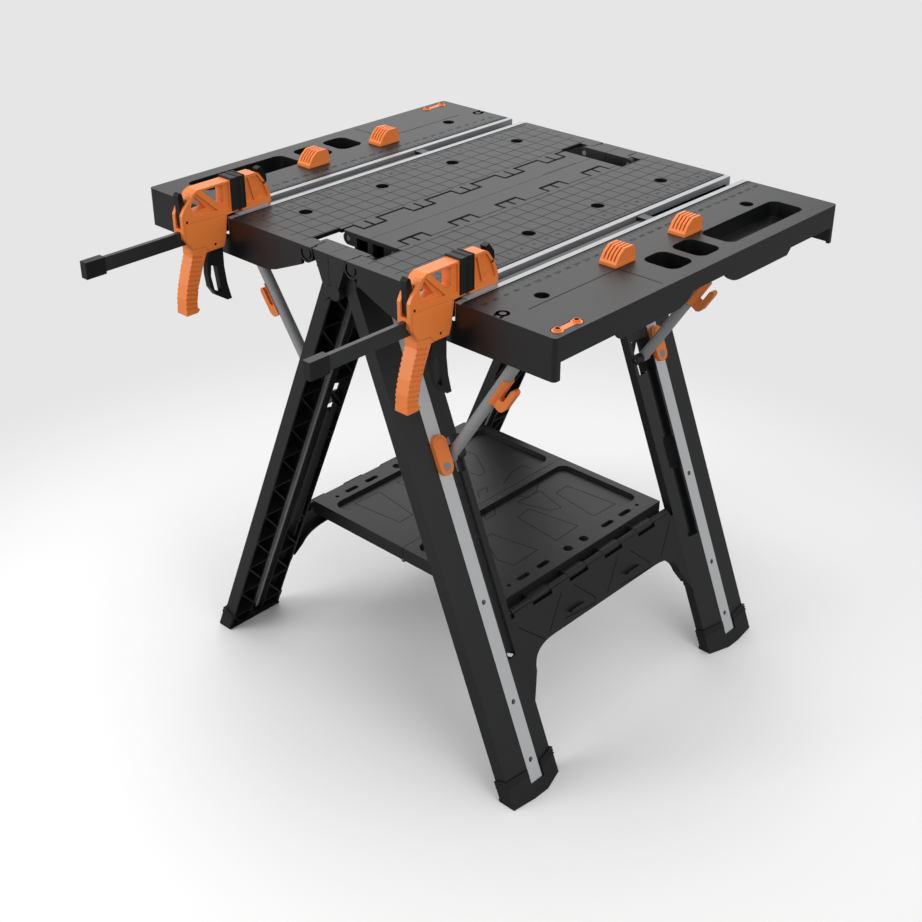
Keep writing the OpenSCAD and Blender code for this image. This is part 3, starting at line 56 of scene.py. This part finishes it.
# Slots, boxes and sizes shared with the CAD, in metres
SLOT = {m["node"]: m["material_slot"] for m in record["subparts"]}
LOW, HIGH = (Vector(c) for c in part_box("table_right"))
TOP = HIGH.z
MID_Y = (LOW.y + HIGH.y) / 2
HALF_L = (HIGH.y - LOW.y) / 2
TRACK_LOW, TRACK_HIGH = (Vector(c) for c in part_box("track_rails_right"))
TRACK_X = (TRACK_LOW.x + TRACK_HIGH.x) / 2
TRACK_DEPTH = TOP - TRACK_LOW.z
TRACK_GAP = 22 * MM
SHELF_HIGH = Vector(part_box("shelf_right")[1])

# Drawn marks: their depth, and how far they stand out of the open top and of the shelf and panels
SINK = 0.3 * MM
PROUD_TOP = 0.05 * MM
PROUD_LOW = 0.08 * MM

FLAT = ((1, 0, 0), (0, 1, 0))
SIDES = ((1, "right"), (-1, "left"))


def new_material(name):
    """A material with an empty node tree."""
    m = bpy.data.materials.new(name)
    m.use_nodes = True
    m.node_tree.nodes.clear()
    return m


def add(m, kind, inputs=None, **settings):
    """Adds one node with its settings; an input is a value or another node's output. A Mix takes its
    share at 0, two numbers at 2 and 3 or two colours at 6 and 7. A MapRange takes its value at 0, the
    range that it comes from at 1 and 2 and the range that it goes to at 3 and 4."""
    n = m.node_tree.nodes.new("ShaderNode" + kind)
    for k, v in settings.items():
        setattr(n, k, v)
    for k, v in (inputs or {}).items():
        if isinstance(v, bpy.types.NodeSocket):
            m.node_tree.links.new(v, n.inputs[k])
        else:
            n.inputs[k].default_value = v
    return n


def moulded(name, dark, light, rough, grain=0.9 * MM, depth=0.05 * MM, edge=0.9 * MM, specular=0.5):
    """A moulded or coated skin: fine grain, faint clouds of 60 mm in its colour, and rounded edges."""
    m = new_material(name)
    place = add(m, "TexCoord").outputs["Object"]
    clouds = add(m, "TexNoise", {"Vector": place, "Scale": 1 / (60 * MM), "Detail": 3.0}).outputs["Fac"]
    fine = add(m, "TexNoise", {"Vector": place, "Scale": 1 / grain, "Detail": 1.0}).outputs["Fac"]
    color = add(m, "Mix", {0: clouds, 6: linear(dark), 7: linear(light)}, data_type="RGBA")
    gloss = add(m, "MapRange", {0: fine, 1: 0.3, 2: 0.7, 3: rough - 0.04, 4: rough + 0.04})
    corner = add(m, "Bevel", {"Radius": edge}, samples=6)
    bump = add(m, "Bump", {"Height": fine, "Distance": depth, "Normal": corner.outputs[0]})
    skin = add(m, "BsdfPrincipled", {"Base Color": color.outputs[2], "Roughness": gloss.outputs[0],
                                     "Specular IOR Level": specular, "Normal": bump.outputs[0]})
    add(m, "OutputMaterial", {"Surface": skin.outputs[0]})
    return m


def drawn_metal(name, dark, light, rough, metallic, stretch):
    """Metal drawn along the axis whose stretch is under 1: streaks 0.8 mm wide that run with it."""
    m = new_material(name)
    place = add(m, "TexCoord").outputs["Object"]
    drawn = add(m, "Mapping", {"Vector": place, "Scale": stretch})
    streak = add(m, "TexNoise", {"Vector": drawn.outputs[0], "Scale": 1 / (0.8 * MM), "Detail": 2.0,
                                 "Roughness": 0.6}).outputs["Fac"]
    color = add(m, "Mix", {0: streak, 6: linear(dark), 7: linear(light)}, data_type="RGBA")
    gloss = add(m, "MapRange", {0: streak, 1: 0.3, 2: 0.7, 3: rough - 0.05, 4: rough + 0.05})
    corner = add(m, "Bevel", {"Radius": 0.4 * MM}, samples=4)
    bump = add(m, "Bump", {"Height": streak, "Distance": 0.02 * MM, "Normal": corner.outputs[0]})
    skin = add(m, "BsdfPrincipled", {"Base Color": color.outputs[2], "Roughness": gloss.outputs[0],
                                     "Metallic": metallic, "Normal": bump.outputs[0]})
    add(m, "OutputMaterial", {"Surface": skin.outputs[0]})
    return m


def table_plastic():
    """The frame's plastic, a little lighter: inch squares cut into the inner panels, with painted shade in
    their lines, and polished trays.
    """
    half_groove, half_floor, groove_depth = 0.8 * MM, 0.3 * MM, 0.5 * MM
    track_margin, comb_edge, end_margin, open_top = 4 * MM, 58 * MM, 12 * MM, TOP - 0.3 * MM
    m = new_material("moulded_polypropylene_table")
    place = add(m, "TexCoord").outputs["Object"]
    axes = add(m, "SeparateXYZ", {0: place}).outputs
    clouds = add(m, "TexNoise", {"Vector": place, "Scale": 1 / (60 * MM), "Detail": 3.0}).outputs["Fac"]
    fine = add(m, "TexNoise", {"Vector": place, "Scale": 1 / (0.9 * MM), "Detail": 1.0}).outputs["Fac"]
    # Distance from the middle of an inch square, as a share of its side: 0 in the middle and 0.5 on a line
    from_middle = []
    for axis, middle in ((axes[0], 0.0), (axes[1], MID_Y)):
        square = add(m, "Math", {0: axis, 1: 1 / IN, 2: 20.5 - middle / IN}, operation="MULTIPLY_ADD")
        share = add(m, "Math", {0: square.outputs[0]}, operation="FRACT")
        away = add(m, "Math", {0: share.outputs[0], 1: 0.5}, operation="SUBTRACT")
        from_middle.append(add(m, "Math", {0: away.outputs[0]}, operation="ABSOLUTE").outputs[0])
    farther = add(m, "Math", {0: from_middle[0], 1: from_middle[1]}, operation="MAXIMUM")
    line = add(m, "MapRange", {0: farther.outputs[0], 1: 0.5 - half_groove / IN, 2: 0.5 - half_floor / IN})
    # The squares stop short of the tracks, the comb hinge and the table's ends
    across = add(m, "Math", {0: axes[0]}, operation="ABSOLUTE")
    inner = add(m, "Math", {0: across.outputs[0], 1: TRACK_LOW.x - track_margin}, operation="LESS_THAN")
    outer = add(m, "Math", {0: across.outputs[0], 1: comb_edge}, operation="GREATER_THAN")
    along = add(m, "Math", {0: axes[1], 1: MID_Y}, operation="SUBTRACT")
    ends = add(m, "Math", {0: along.outputs[0], 1: 0.0, 2: HALF_L - end_margin}, operation="COMPARE")
    height = add(m, "Math", {0: axes[2], 1: open_top}, operation="GREATER_THAN")
    both = add(m, "Math", {0: inner.outputs[0], 1: outer.outputs[0]}, operation="MULTIPLY")
    field = add(m, "Math", {0: both.outputs[0], 1: ends.outputs[0]}, operation="MULTIPLY")
    face = add(m, "Math", {0: field.outputs[0], 1: height.outputs[0]}, operation="MULTIPLY")
    cut = add(m, "Math", {0: face.outputs[0], 1: line.outputs[0]}, operation="MULTIPLY")
    plain = add(m, "Mix", {0: clouds, 6: linear("0f1011"), 7: linear("141516")}, data_type="RGBA")
    # The squares' lines are painted near black: painted shade in the grooves
    color = add(m, "Mix", {0: cut.outputs[0], 6: plain.outputs[2], 7: linear("050505")}, data_type="RGBA")
    # Trays and other hollows keep the polish of the tool, and the open top is grained
    skin_gloss = add(m, "Mix", {0: height.outputs[0], 2: 0.30, 3: 0.46})
    gloss = add(m, "Mix", {0: cut.outputs[0], 2: skin_gloss.outputs[0], 3: 0.95})
    corner = add(m, "Bevel", {"Radius": 0.9 * MM}, samples=6)
    grain = add(m, "Bump", {"Height": fine, "Distance": 0.05 * MM, "Normal": corner.outputs[0]})
    bump = add(m, "Bump", {"Height": cut.outputs[0], "Distance": groove_depth, "Normal": grain.outputs[0]},
               invert=True)
    skin = add(m, "BsdfPrincipled", {"Base Color": color.outputs[2], "Roughness": gloss.outputs[0],
                                     "Normal": bump.outputs[0]})
    add(m, "OutputMaterial", {"Surface": skin.outputs[0]})
    return m


# Glass-filled polypropylene, moulded: near black, and grey where the light from behind meets its grain
BLACK = moulded("moulded_polypropylene_black", "0d0e0f", "121314", 0.46)
TABLE = table_plastic()
# ABS, moulded and pigmented right through: clear edges, satin
ORANGE = moulded("moulded_abs_orange", "e37a32", "e9803a", 0.44, grain=0.7 * MM, depth=0.03 * MM)
# Nylon, moulded black: the levers and end pieces, a little glossier than the frame
NYLON = moulded("moulded_nylon_black", "0a0b0c", "0f1011", 0.36, grain=0.7 * MM, depth=0.03 * MM,
                edge=0.7 * MM, specular=0.35)
# Thermoplastic rubber: matt, with a dry bloom
RUBBER = moulded("moulded_rubber_black", "0e0f10", "141516", 0.55, grain=1.4 * MM, depth=0.08 * MM,
                 edge=0.7 * MM, specular=0.4)
# Anodised aluminium strip: pale, satin, streaked along its length
RAIL = drawn_metal("anodised_aluminium_strip", "9a9b9d", "a8a9ab", 0.38, metallic=0.55, stretch=(1, 0.02, 1))
# Anodised strip in the legs: the same satin finish, paler, streaked upwards
STRIP = drawn_metal("anodised_aluminium_leg_strip", "c6c7c9", "d4d5d7", 0.40, metallic=0.45,
                    stretch=(1, 1, 0.02))
# Steel tube, grey powder coat: smooth, with the faint peel of baked powder
TUBE = moulded("powder_coated_tube_grey", "8d8e90", "979899", 0.40, grain=1.6 * MM, edge=0.3 * MM)
# Flat steel bar, black oxide with oil: soft grey sheen on its edges
BAR = moulded("oxided_steel_bar_black", "1d1e20", "262729", 0.36, grain=0.5 * MM, depth=0.02 * MM,
              edge=0.5 * MM)
# Zinc-plated pins and screws: grey with a cool gleam
ZINC = drawn_metal("zinc_plated_steel", "8f9092", "a2a3a5", 0.35, metallic=0.85, stretch=(1, 0.05, 1))
# Painted shade: marks cut into the mouldings, whose floors lie in shade, and shaded gaps, holes and walls
PAINTED_SHADE = moulded("painted_shade_dark", "090909", "0d0d0d", 0.8, grain=0.5 * MM, depth=0.02 * MM,
                 edge=0.1 * MM, specular=0.05)

BY_SLOT = {"moulded_black": BLACK, "moulded_orange": ORANGE, "black_plastic": NYLON, "rubber_black": RUBBER,
           "bright_rail": RAIL, "grey_steel": TUBE, "black_steel": BAR, "pin_steel": ZINC}

for node, slot_name in SLOT.items():
    material = BY_SLOT[slot_name]
    if node.startswith("leg_rail"):
        material = STRIP
    if node in ("table_left", "table_right"):
        material = TABLE
    mesh = frame["nodes"][node].data
    mesh.materials.clear()
    mesh.materials.append(material)


def piece(name, points, faces, material, body):
    """A finished mesh in the row frame that moves with a body."""
    mesh = bpy.data.meshes.new(name)
    mesh.from_pydata(points.tolist(), [], faces.tolist())
    mesh.materials.append(material)
    o = bpy.data.objects.new(name, mesh)
    bpy.context.scene.collection.objects.link(o)
    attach(o, body)
    return o


def strokes(a, b, width, origin, ex, ey, sink, rise):
    """Engraved strokes from a to b, (n, 2) arrays on the plane p = origin + u ex + v ey. Round a stroke
    with direction d, normal q and half width w, the outline is the hexagon a - w d, a - w q, b - w q,
    b + w d, b + w q, a + w q, drawn from -sink to +rise along ex x ey."""
    a, b = np.asarray(a, float), np.asarray(b, float)
    d = (b - a) / np.linalg.norm(b - a, axis=1, keepdims=True)
    q = np.stack([-d[:, 1], d[:, 0]], axis=1)
    w = width / 2
    ring = np.stack([a - w * d, a - w * q, b - w * q, b + w * d, b + w * q, a + w * q], axis=1)
    ex, ey = np.asarray(ex, float), np.asarray(ey, float)
    up = np.cross(ex, ey)
    flat = np.asarray(origin) + ring[..., :1] * ex + ring[..., 1:] * ey
    points = np.concatenate([flat - sink * up, flat + rise * up], axis=1).reshape(-1, 3)
    i = np.arange(6)
    walls = np.stack([i, (i + 1) % 6, (i + 1) % 6 + 6, i + 6], axis=1)
    quads = np.concatenate([walls, [[6, 7, 8, 9], [6, 9, 10, 11], [3, 2, 1, 0], [5, 4, 3, 0]]])
    faces = (np.arange(len(a))[:, None, None] * 12 + quads[None]).reshape(-1, 4)
    return points, faces


def on_top(a, b, width, sink=SINK):
    """Strokes on the open top, whose x and y are counted from the middle of the table."""
    return strokes(a, b, width, (0, MID_Y, TOP), *FLAT, sink, PROUD_TOP)


def pairs(x, y):
    """Places (x, y) as rows; one of the two may be a single value."""
    return np.stack(np.broadcast_arrays(x, y), axis=1)


def closed_path(corners):
    """The strokes' ends round a closed outline, from its corners in millimetres."""
    p = np.asarray(corners, float) * MM
    return p, np.roll(p, -1, axis=0)


def numbers(values, places, tall):
    """Ruler numbers read along the tracks: the font's outlines as closed meshes, with the points that
    round to the same tenth of a micrometre joined. The font's point (u, v, w) comes to (x - v, y + u,
    top - sunk + w) for a number at (x, y)."""
    half_thick, sunk, per_metre = 0.15 * MM, 0.09 * MM, 1e7
    points, faces, first = [], [], 0
    for value, place in zip(values, places):
        curve = bpy.data.curves.new("number", "FONT")
        curve.body, curve.size, curve.extrude = str(value), tall, half_thick
        curve.align_x, curve.align_y, curve.resolution_u = "CENTER", "CENTER", 1
        mesh = bpy.data.meshes.new_from_object(bpy.data.objects.new("number", curve))
        mesh.calc_loop_triangles()
        xyz = np.empty(len(mesh.vertices) * 3)
        mesh.vertices.foreach_get("co", xyz)
        corners = np.empty(len(mesh.loop_triangles) * 3, int)
        mesh.loop_triangles.foreach_get("vertices", corners)
        xyz = xyz.reshape(-1, 3)
        met, name = np.unique(np.round(xyz * per_metre).astype(int), axis=0, return_inverse=True)
        u, v, w = (met / per_metre).T
        points.append(np.stack([place[0] - v, place[1] + u, TOP - sunk + w], axis=1))
        faces.append(name.reshape(-1)[corners].reshape(-1, 3) + first)
        first += len(met)
    return np.concatenate(points), np.concatenate(faces)


def half_turned(points, turn):
    """The same points, or for turn -1 those turned half round the middle of the table."""
    out = points.copy()
    if turn < 0:
        out[:, 0] = -out[:, 0]
        out[:, 1] = 2 * MID_Y - out[:, 1]
    return out


def millimetre_rule():
    """The wing's rule: a stroke each 2 mm from the middle of the table, a longer one each 10 mm, and
    numbers each 20 mm from the table's near end."""
    start, row, width = TRACK_HIGH.x + 0.6 * MM, 263.7 * MM, 0.5 * MM
    step = np.arange(-158, 159)
    y = step * 2 * MM
    reach = np.where(step % 5 == 0, 11.0, 6.0) * MM
    tens = np.arange(20, 621, 20)
    return (on_top(pairs(start, y), pairs(start + reach, y), width),
            numbers(tens, pairs(row, MID_Y - HALF_L + tens * MM), tall=9.0 * MM))


def inch_rule():
    """The inner panel's rule: a stroke each eighth of an inch, the longest on the lines of the inch
    grid, and a longer one with a number in the middle of each square."""
    start, row, width = TRACK_LOW.x - 0.6 * MM, 175.7 * MM, 0.5 * MM
    eighth = np.arange(-96, 97)
    y = eighth * IN / 8
    reach = np.where(eighth % 8 == 4, 13.0, np.where(eighth % 4 == 0, 8.0, 5.0)) * MM
    count = np.arange(1, 26)
    return (on_top(pairs(start - reach, y), pairs(start, y), width),
            numbers(count, pairs(row, MID_Y + (count - 13) * IN), tall=8.0 * MM))


def wing_line():
    """One long line on the wing that turns to the outer edge."""
    path = np.array([[313, -272], [313, -95], [384, -95]]) * MM
    return on_top(path[:-1], path[1:], 1.4 * MM)


def wing_notch():
    """The keyhole near the wing's end: a ring with the points c + r (cos t, sin t), and two stems from
    it to the table's end."""
    centre, radius, width = (298, -303), 7, 4.4 * MM
    turned = np.linspace(0, 2 * np.pi, 25)
    ring = pairs(centre[0] + radius * np.cos(turned), centre[1] + radius * np.sin(turned)) * MM
    stem = np.array([[[291, -304], [295.4, -315.3]], [[303, -308], [305.4, -315.3]]]) * MM
    return on_top(np.concatenate([ring[:-1], stem[:, 0]]), np.concatenate([ring[1:], stem[:, 1]]), width)


def track_shade(turn):
    """Shade on the lower part of a wall of the track's slot: one stroke on the wall's plane, with the
    axes y and z. Its pointed ends stay inside the table's ends."""
    end, middle, tall = HALF_L - 12 * MM, -0.68 * TRACK_DEPTH, 0.6 * TRACK_DEPTH
    wall = (TRACK_X + turn * TRACK_GAP / 2, MID_Y, TOP)
    along, up, sink, rise = (0, -turn, 0), (0, 0, 1), 0.2 * MM, 0.25 * MM
    return strokes([[-end, middle]], [[end, middle]], tall, wall, along, up, sink, rise)


def track_seams():
    """Painted shade: the black seam outside each bright face of the track, where shade falls in the gap."""
    end, out = HALF_L - 4 * MM, 0.5 * MM
    x = np.array([TRACK_LOW.x - out, TRACK_HIGH.x + out])
    return on_top(pairs(x, -end), pairs(x, end), 2.4 * MM)


def track_plate():
    """The plate that closes the slot from below, under the ledges that the rails stand on; it is dark with
    painted shade for the slot's floor.
    """
    end, ledge, width, thick, overlap = HALF_L - 33 * MM, 2.1 * MM, 23 * MM, 1.6 * MM, 0.1 * MM
    under = (0, MID_Y, TRACK_LOW.z - ledge)
    return strokes([[TRACK_X, -end]], [[TRACK_X, end]], width, under, *FLAT, thick, overlap)


def table_marks():
    """What is drawn on a table half: made for the right one, and turned half round for the left."""
    wing_lines, wing_numbers = millimetre_rule()
    inch_lines, inch_numbers = inch_rule()
    marks = {"wing_notch": wing_notch(), "track_shade_in": track_shade(-1),
             "track_shade_out": track_shade(1), "track_seams": track_seams(),
             "track_plate": track_plate(), "wing_rule": wing_lines,
             "inch_rule": inch_lines, "wing_numbers": wing_numbers, "inch_numbers": inch_numbers,
             "wing_line": wing_line()}
    for turn, side in SIDES:
        for name, (points, faces) in marks.items():
            piece(f"{name}_{side}", half_turned(points, turn), faces, PAINTED_SHADE, side + " table half")


def cut_at(a, b, x):
    """Strokes that cross the line at x, cut at a + t (b - a) with t = (x - ax) / (bx - ax); those on
    its right side come first, then those on its left."""
    parallel, margin = 1e-9, 0.001
    d = b - a
    share = np.divide(x - a[:, 0], d[:, 0], out=np.full(len(a), -1.0), where=np.abs(d[:, 0]) > parallel)
    crossing = (share > margin) & (share < 1 - margin)
    middle = a + share[:, None] * d
    a2 = np.concatenate([a, middle[crossing]])
    b2 = np.concatenate([np.where(crossing[:, None], middle, b), b[crossing]])
    right = (a2[:, 0] + b2[:, 0]) / 2 > x
    return (a2[right], b2[right]), (a2[~right], b2[~right])


def shelf_marks():
    """Outlines cut in the shelf's floor: five pointed panels, each also turned half round, and one band
    across the middle. Over the middle hinge lie six broad openings on the right and six narrow pairs on
    the left."""
    hinge_x, tray_depth, line, broad, narrow = 2.3 * MM, 7 * MM, 0.9 * MM, 8 * MM, 3.5 * MM
    on_floor = ((0, MID_Y, SHELF_HIGH.z - tray_depth), *FLAT, SINK, PROUD_LOW)
    panels = [[(68, 4), (63, 37), (155, 51), (157, -6)], [(63, 106), (62, 137), (157, 146), (155, 92)],
              [(70, -77), (68, -62), (153, -47), (155, -105), (124, -111)],
              [(39, 94), (99, 76), (92, 57), (36, 40)],
              [(-36, 106), (-39, 136), (-2, 145), (36, 88), (39, 61), (-14, 53)]]
    panels += [[(-x, -y) for x, y in q] for q in panels]
    panels.append([(-36, 21), (-34, 40), (34, -11), (34, -35)])
    ends = [closed_path(q) for q in panels]
    halves = cut_at(np.concatenate([e[0] for e in ends]), np.concatenate([e[1] for e in ends]), hinge_x)
    for side, (a, b) in zip(("right", "left"), halves):
        points, faces = strokes(a, b, line, *on_floor)
        piece("shelf_outlines_" + side, points, faces, PAINTED_SHADE, side + " shelf half")
    y = np.array([-124, -73, -23, 23, 73, 124]) * MM
    points, faces = strokes(pairs(5 * MM, y), pairs(13 * MM, y), broad, *on_floor)
    piece("shelf_slots_right", points, faces, PAINTED_SHADE, "right shelf half")
    y = (y[:, None] + np.array([-3, 3]) * MM).reshape(-1)
    points, faces = strokes(pairs(-11 * MM, y), pairs(-2 * MM, y), narrow, *on_floor)
    piece("shelf_slots_left", points, faces, PAINTED_SHADE, "left shelf half")


def panel_marks():
    """Slanted grooves on the panel between each pair of feet, half turned on the left side. The panel
    lies in its leg's outer plane, with the axes y and up the leg from its pivot, and leans as far as
    the leg."""
    pivot_x, pivot_z, face, width = 8 * MM, 721 * MM, 27 * MM, 1.2 * MM
    slants = [[(49, -545), (6, -588)], [(189, -544), (147, -588)], [(-90, -544), (-134, -588)],
              [(80, -548), (117, -586), (115, -594), (38, -590)],
              [(-60, -544), (-22, -583), (-25, -591), (-97, -584)],
              [(-192, -554), (-148, -594)]]
    a = np.concatenate([np.array(q[:-1]) for q in slants]) * MM
    b = np.concatenate([np.array(q[1:]) for q in slants]) * MM
    for side, turn, lean in (("right", 1, 22.105), ("left", -1, 23.169)):
        c, s = math.cos(math.radians(lean)), math.sin(math.radians(lean))
        origin = (pivot_x + turn * face * c, MID_Y, pivot_z + face * s)
        points, faces = strokes(a, b, width, origin, (0, turn, 0), (-turn * s, 0, c), SINK, PROUD_LOW)
        piece("panel_grooves_" + side, points, faces, PAINTED_SHADE, side + " leg frame")


def comb_shadows():
    """Painted shade: dark strokes over the gaps of the comb hinge, flush with the top, in five groups: a
    spine along the beam and three teeth between the fingers. The left side's wide gap between the groups
    and some ticks on the beam's seam are drawn too. Places are in millimetres from the middle of the table."""
    pitch, finger, tooth_start, deep, tooth = 98.4, 22.0, 37.0, 1.2 * MM, 4.2 * MM
    group = np.arange(-2, 3) * pitch
    for side, turn, spine, width, tip in (("right", 1, 34.5, 5.6, 52.6), ("left", -1, 34.4, 4.8, 55.8)):
        x = turn * spine
        start, stop = pairs(x, group - finger) * MM, pairs(x, group + finger) * MM
        points, faces = on_top(start, stop, width * MM, deep)
        piece("comb_spine_shade_" + side, points, faces, PAINTED_SHADE, side + " leg frame")
        y = (group[:, None] + np.array([-1, 0, 1]) * finger).reshape(-1)
        points, faces = on_top(pairs(turn * tooth_start, y) * MM, pairs(turn * tip, y) * MM, tooth, deep)
        piece("comb_teeth_shade_" + side, points, faces, PAINTED_SHADE, side + " leg frame")
    outside, clear, beam_end = -54.2, 25, 238
    y0, y1 = np.append(-beam_end, group + clear), np.append(group - clear, beam_end)
    points, faces = on_top(pairs(outside, y0) * MM, pairs(outside, y1) * MM, tooth, deep)
    piece("comb_outside_shade_left", points, faces, PAINTED_SHADE, "left leg frame")
    y = np.arange(128, 207, 4.0)
    points, faces = on_top(pairs(-4.0, y) * MM, pairs(-0.6, y) * MM, 1.0 * MM)
    piece("seam_ticks", points, faces, PAINTED_SHADE, "left leg frame")


def pad_bands():
    """Two raised bands over each clamp pad, near its two faces: a U of the pad's own outline moved out
    by 0.8 mm and in by 0.2 mm, 2 mm long."""
    out, inside, long, margin = 0.8 * MM, 0.2 * MM, 2 * MM, 0.3 * MM
    i = np.arange(8)
    j = (i + 1) % 8
    cap = np.array([[0, 1, 6, 7], [1, 2, 5, 6], [2, 3, 4, 5]])
    band = np.concatenate([np.stack([i, j, j + 8, i + 8], 1), cap + 8, cap[:, ::-1]])
    faces = (np.arange(2)[:, None, None] * 16 + band[None]).reshape(-1, 4)
    for node, side, body in (("clamp_pad", "right", "clamp body"), ("clamp_pad", "left", "clamp body"),
                             ("jaw_pad", "right", "clamp jaw"), ("jaw_pad", "left", "clamp jaw")):
        low, high = (np.array(c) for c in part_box(f"{node}_{side}"))
        x0, x1, z0, z1 = low[0], high[0], low[2] + MM, high[2]
        ring = np.array([[x0 - out, z0], [x0 - out, z1 + out], [x1 + out, z1 + out], [x1 + out, z0],
                         [x1 - inside, z0], [x1 - inside, z1 - inside], [x0 + inside, z1 - inside],
                         [x0 + inside, z0]])
        starts = np.array([low[1] + margin, high[1] - margin - long])
        y = np.stack([np.repeat(starts[:, None], 8, 1), np.repeat(starts[:, None] + long, 8, 1)], 1)
        xz = np.broadcast_to(ring, (2, 2, 8, 2))
        points = np.stack([xz[..., 0], y, xz[..., 1]], -1).reshape(-1, 3)
        o = piece(f"{node}_bands_{side}", points, faces, RUBBER, f"{side} {body}")


def link_plate_marks():
    """Painted shade: the dark sockets in the two bosses of each link plate, and the dark seam round the
    plate. A socket is a prism with the outline r cos(k pi / 8), r sin(k pi / 8) for k = 0 to 15. The seam is
    an arc round each end, joined by the two sides of the neck."""
    inset, from_end = 15.1 * MM, np.array([57.2, 21.3]) * MM
    socket, boss_rise, floor_rise = 3.3 * MM, 3.08 * MM, 0.5 * MM
    round_end, neck, width = 8.4 * MM, 51.3, 1.0 * MM
    angle = np.arange(16) * np.pi / 8
    ring = pairs(np.cos(angle), np.sin(angle)) * socket
    i = np.arange(16)
    j = (i + 1) % 16
    k = np.arange(1, 14, 2)
    cap = np.stack([np.zeros(7, int), k, k + 1, k + 2], 1)
    prism = np.concatenate([np.stack([i + 16, j + 16, j, i], 1), cap, cap[:, ::-1] + 16])
    faces = (np.arange(2)[:, None, None] * 32 + prism[None]).reshape(-1, 4)
    places = pairs(HIGH.x - inset, MID_Y - HALF_L + from_end)
    xy = np.broadcast_to(places[:, None, None, :] + ring[None, None], (2, 2, 16, 2))
    z = np.broadcast_to(TOP + np.array([boss_rise, floor_rise])[None, :, None], (2, 2, 16))
    points = np.concatenate([xy, z[..., None]], -1).reshape(-1, 3)
    arc = np.radians(np.linspace(180 - neck, 360 + neck, 20))
    bend = pairs(np.cos(arc), np.sin(arc)) * round_end
    centres = places - [0, MID_Y]
    outline = np.concatenate([centres[1] + bend, centres[0] - bend])
    seam, seam_faces = on_top(outline, np.roll(outline, -1, axis=0), width)
    for turn, side in SIDES:
        piece("link_seam_shade_" + side, half_turned(seam, turn), seam_faces, PAINTED_SHADE, side + " table half")
        piece("link_socket_shade_" + side, half_turned(points, turn), faces, PAINTED_SHADE, side + " link plate")


table_marks()
shelf_marks()
panel_marks()
comb_shadows()
pad_bands()
link_plate_marks()


def white_world():
    """Plain white all round, 0.60 for what it lights and 0.82 for the camera."""
    lit, shown = 0.60, 0.82
    w = bpy.data.worlds.new("studio")
    bpy.context.scene.world = w
    w.use_nodes = True
    w.node_tree.nodes.clear()
    camera_ray = add(w, "LightPath").outputs["Is Camera Ray"]
    level = add(w, "Mix", {0: camera_ray, 2: lit, 3: shown})
    sky = add(w, "Background", {"Color": (1, 1, 1, 1), "Strength": level.outputs[0]})
    add(w, "OutputWorld", {"Surface": sky.outputs[0]})


def paper_floor():
    """Pale paper under the bench. The camera sees its shadows near the bench and an even glow farther
    out. Every other ray meets a darker paper, so that little light comes back from below."""
    near, far, half_side, below = 0.6, 1.35, 30.0, 0.5 * MM
    m = new_material("paper_floor")
    camera_ray = add(m, "LightPath").outputs["Is Camera Ray"]
    place = add(m, "TexCoord").outputs["Object"]
    away = add(m, "VectorMath", {0: place}, operation="LENGTH")
    blend = add(m, "MapRange", {0: away.outputs["Value"], 1: near, 2: far}, interpolation_type="SMOOTHSTEP")
    paper = add(m, "BsdfDiffuse", {"Color": (0.86, 0.86, 0.86, 1)})
    glow = add(m, "Emission", {"Color": (0.79, 0.79, 0.79, 1), "Strength": 1.0})
    bounce = add(m, "BsdfDiffuse", {"Color": (0.30, 0.30, 0.30, 1)})
    seen = add(m, "MixShader", {0: blend.outputs[0], 1: paper.outputs[0], 2: glow.outputs[0]})
    both = add(m, "MixShader", {0: camera_ray, 1: bounce.outputs[0], 2: seen.outputs[0]})
    add(m, "OutputMaterial", {"Surface": both.outputs[0]})
    mesh = bpy.data.meshes.new("floor")
    corners = np.array([[-1, -1, 0], [1, -1, 0], [1, 1, 0], [-1, 1, 0]]) * half_side
    mesh.from_pydata(corners.tolist(), [], [(0, 1, 2, 3)])
    floor = bpy.data.objects.new("floor", mesh)
    bpy.context.scene.collection.objects.link(floor)
    mesh.materials.append(m)
    floor.location.z = -below


def softbox(name, place, aim, size, power):
    """A square lamp at a place, turned to what it lights."""
    lamp = bpy.data.lights.new(name, "AREA")
    lamp.shape, lamp.size, lamp.energy = "SQUARE", size, power
    o = bpy.data.objects.new(name, lamp)
    o.location = place
    o.rotation_euler = (Vector(aim) - Vector(place)).to_track_quat("-Z", "Y").to_euler()
    bpy.context.scene.collection.objects.link(o)


def camera():
    """The photograph's view: fitted azimuth, elevation, distance and focal length."""
    azimuth, elevation, away = math.radians(43.058), math.radians(29.652), 2.3497
    sensor, focal_pixels, photo_pixels = 36.0, 1450.3, 922
    target = Vector((-0.0291, MID_Y - 0.0272, 0.3270))
    back = Vector((math.sin(azimuth) * math.cos(elevation), -math.cos(azimuth) * math.cos(elevation),
                   math.sin(elevation)))
    c = bpy.data.cameras.new("camera")
    c.sensor_width, c.lens = sensor, sensor * focal_pixels / photo_pixels
    o = bpy.data.objects.new("camera", c)
    o.location = target + back * away
    o.rotation_mode = "QUATERNION"
    o.rotation_quaternion = (-back).to_track_quat("-Z", "Y")
    bpy.context.scene.collection.objects.link(o)
    bpy.context.scene.camera = o


# The studio: soft light from above, a wide lamp behind that sheens the top, and two lamps in front
bpy.context.scene.view_settings.view_transform = "Standard"
white_world()
paper_floor()
softbox("overhead", place=(-0.2, 0.2, 3.2), aim=(0, 0.1, 0.4), size=2.6, power=36)
softbox("behind", place=(-2.1, 2.4, 2.45), aim=(0, 0.1, 0.75), size=2.6, power=26)
softbox("front_left", place=(-1.5, -2.8, 1.7), aim=(0, 0, 0.5), size=1.8, power=52)
softbox("front_right", place=(2.9, -0.6, 1.7), aim=(0, 0, 0.5), size=1.8, power=28)
camera()
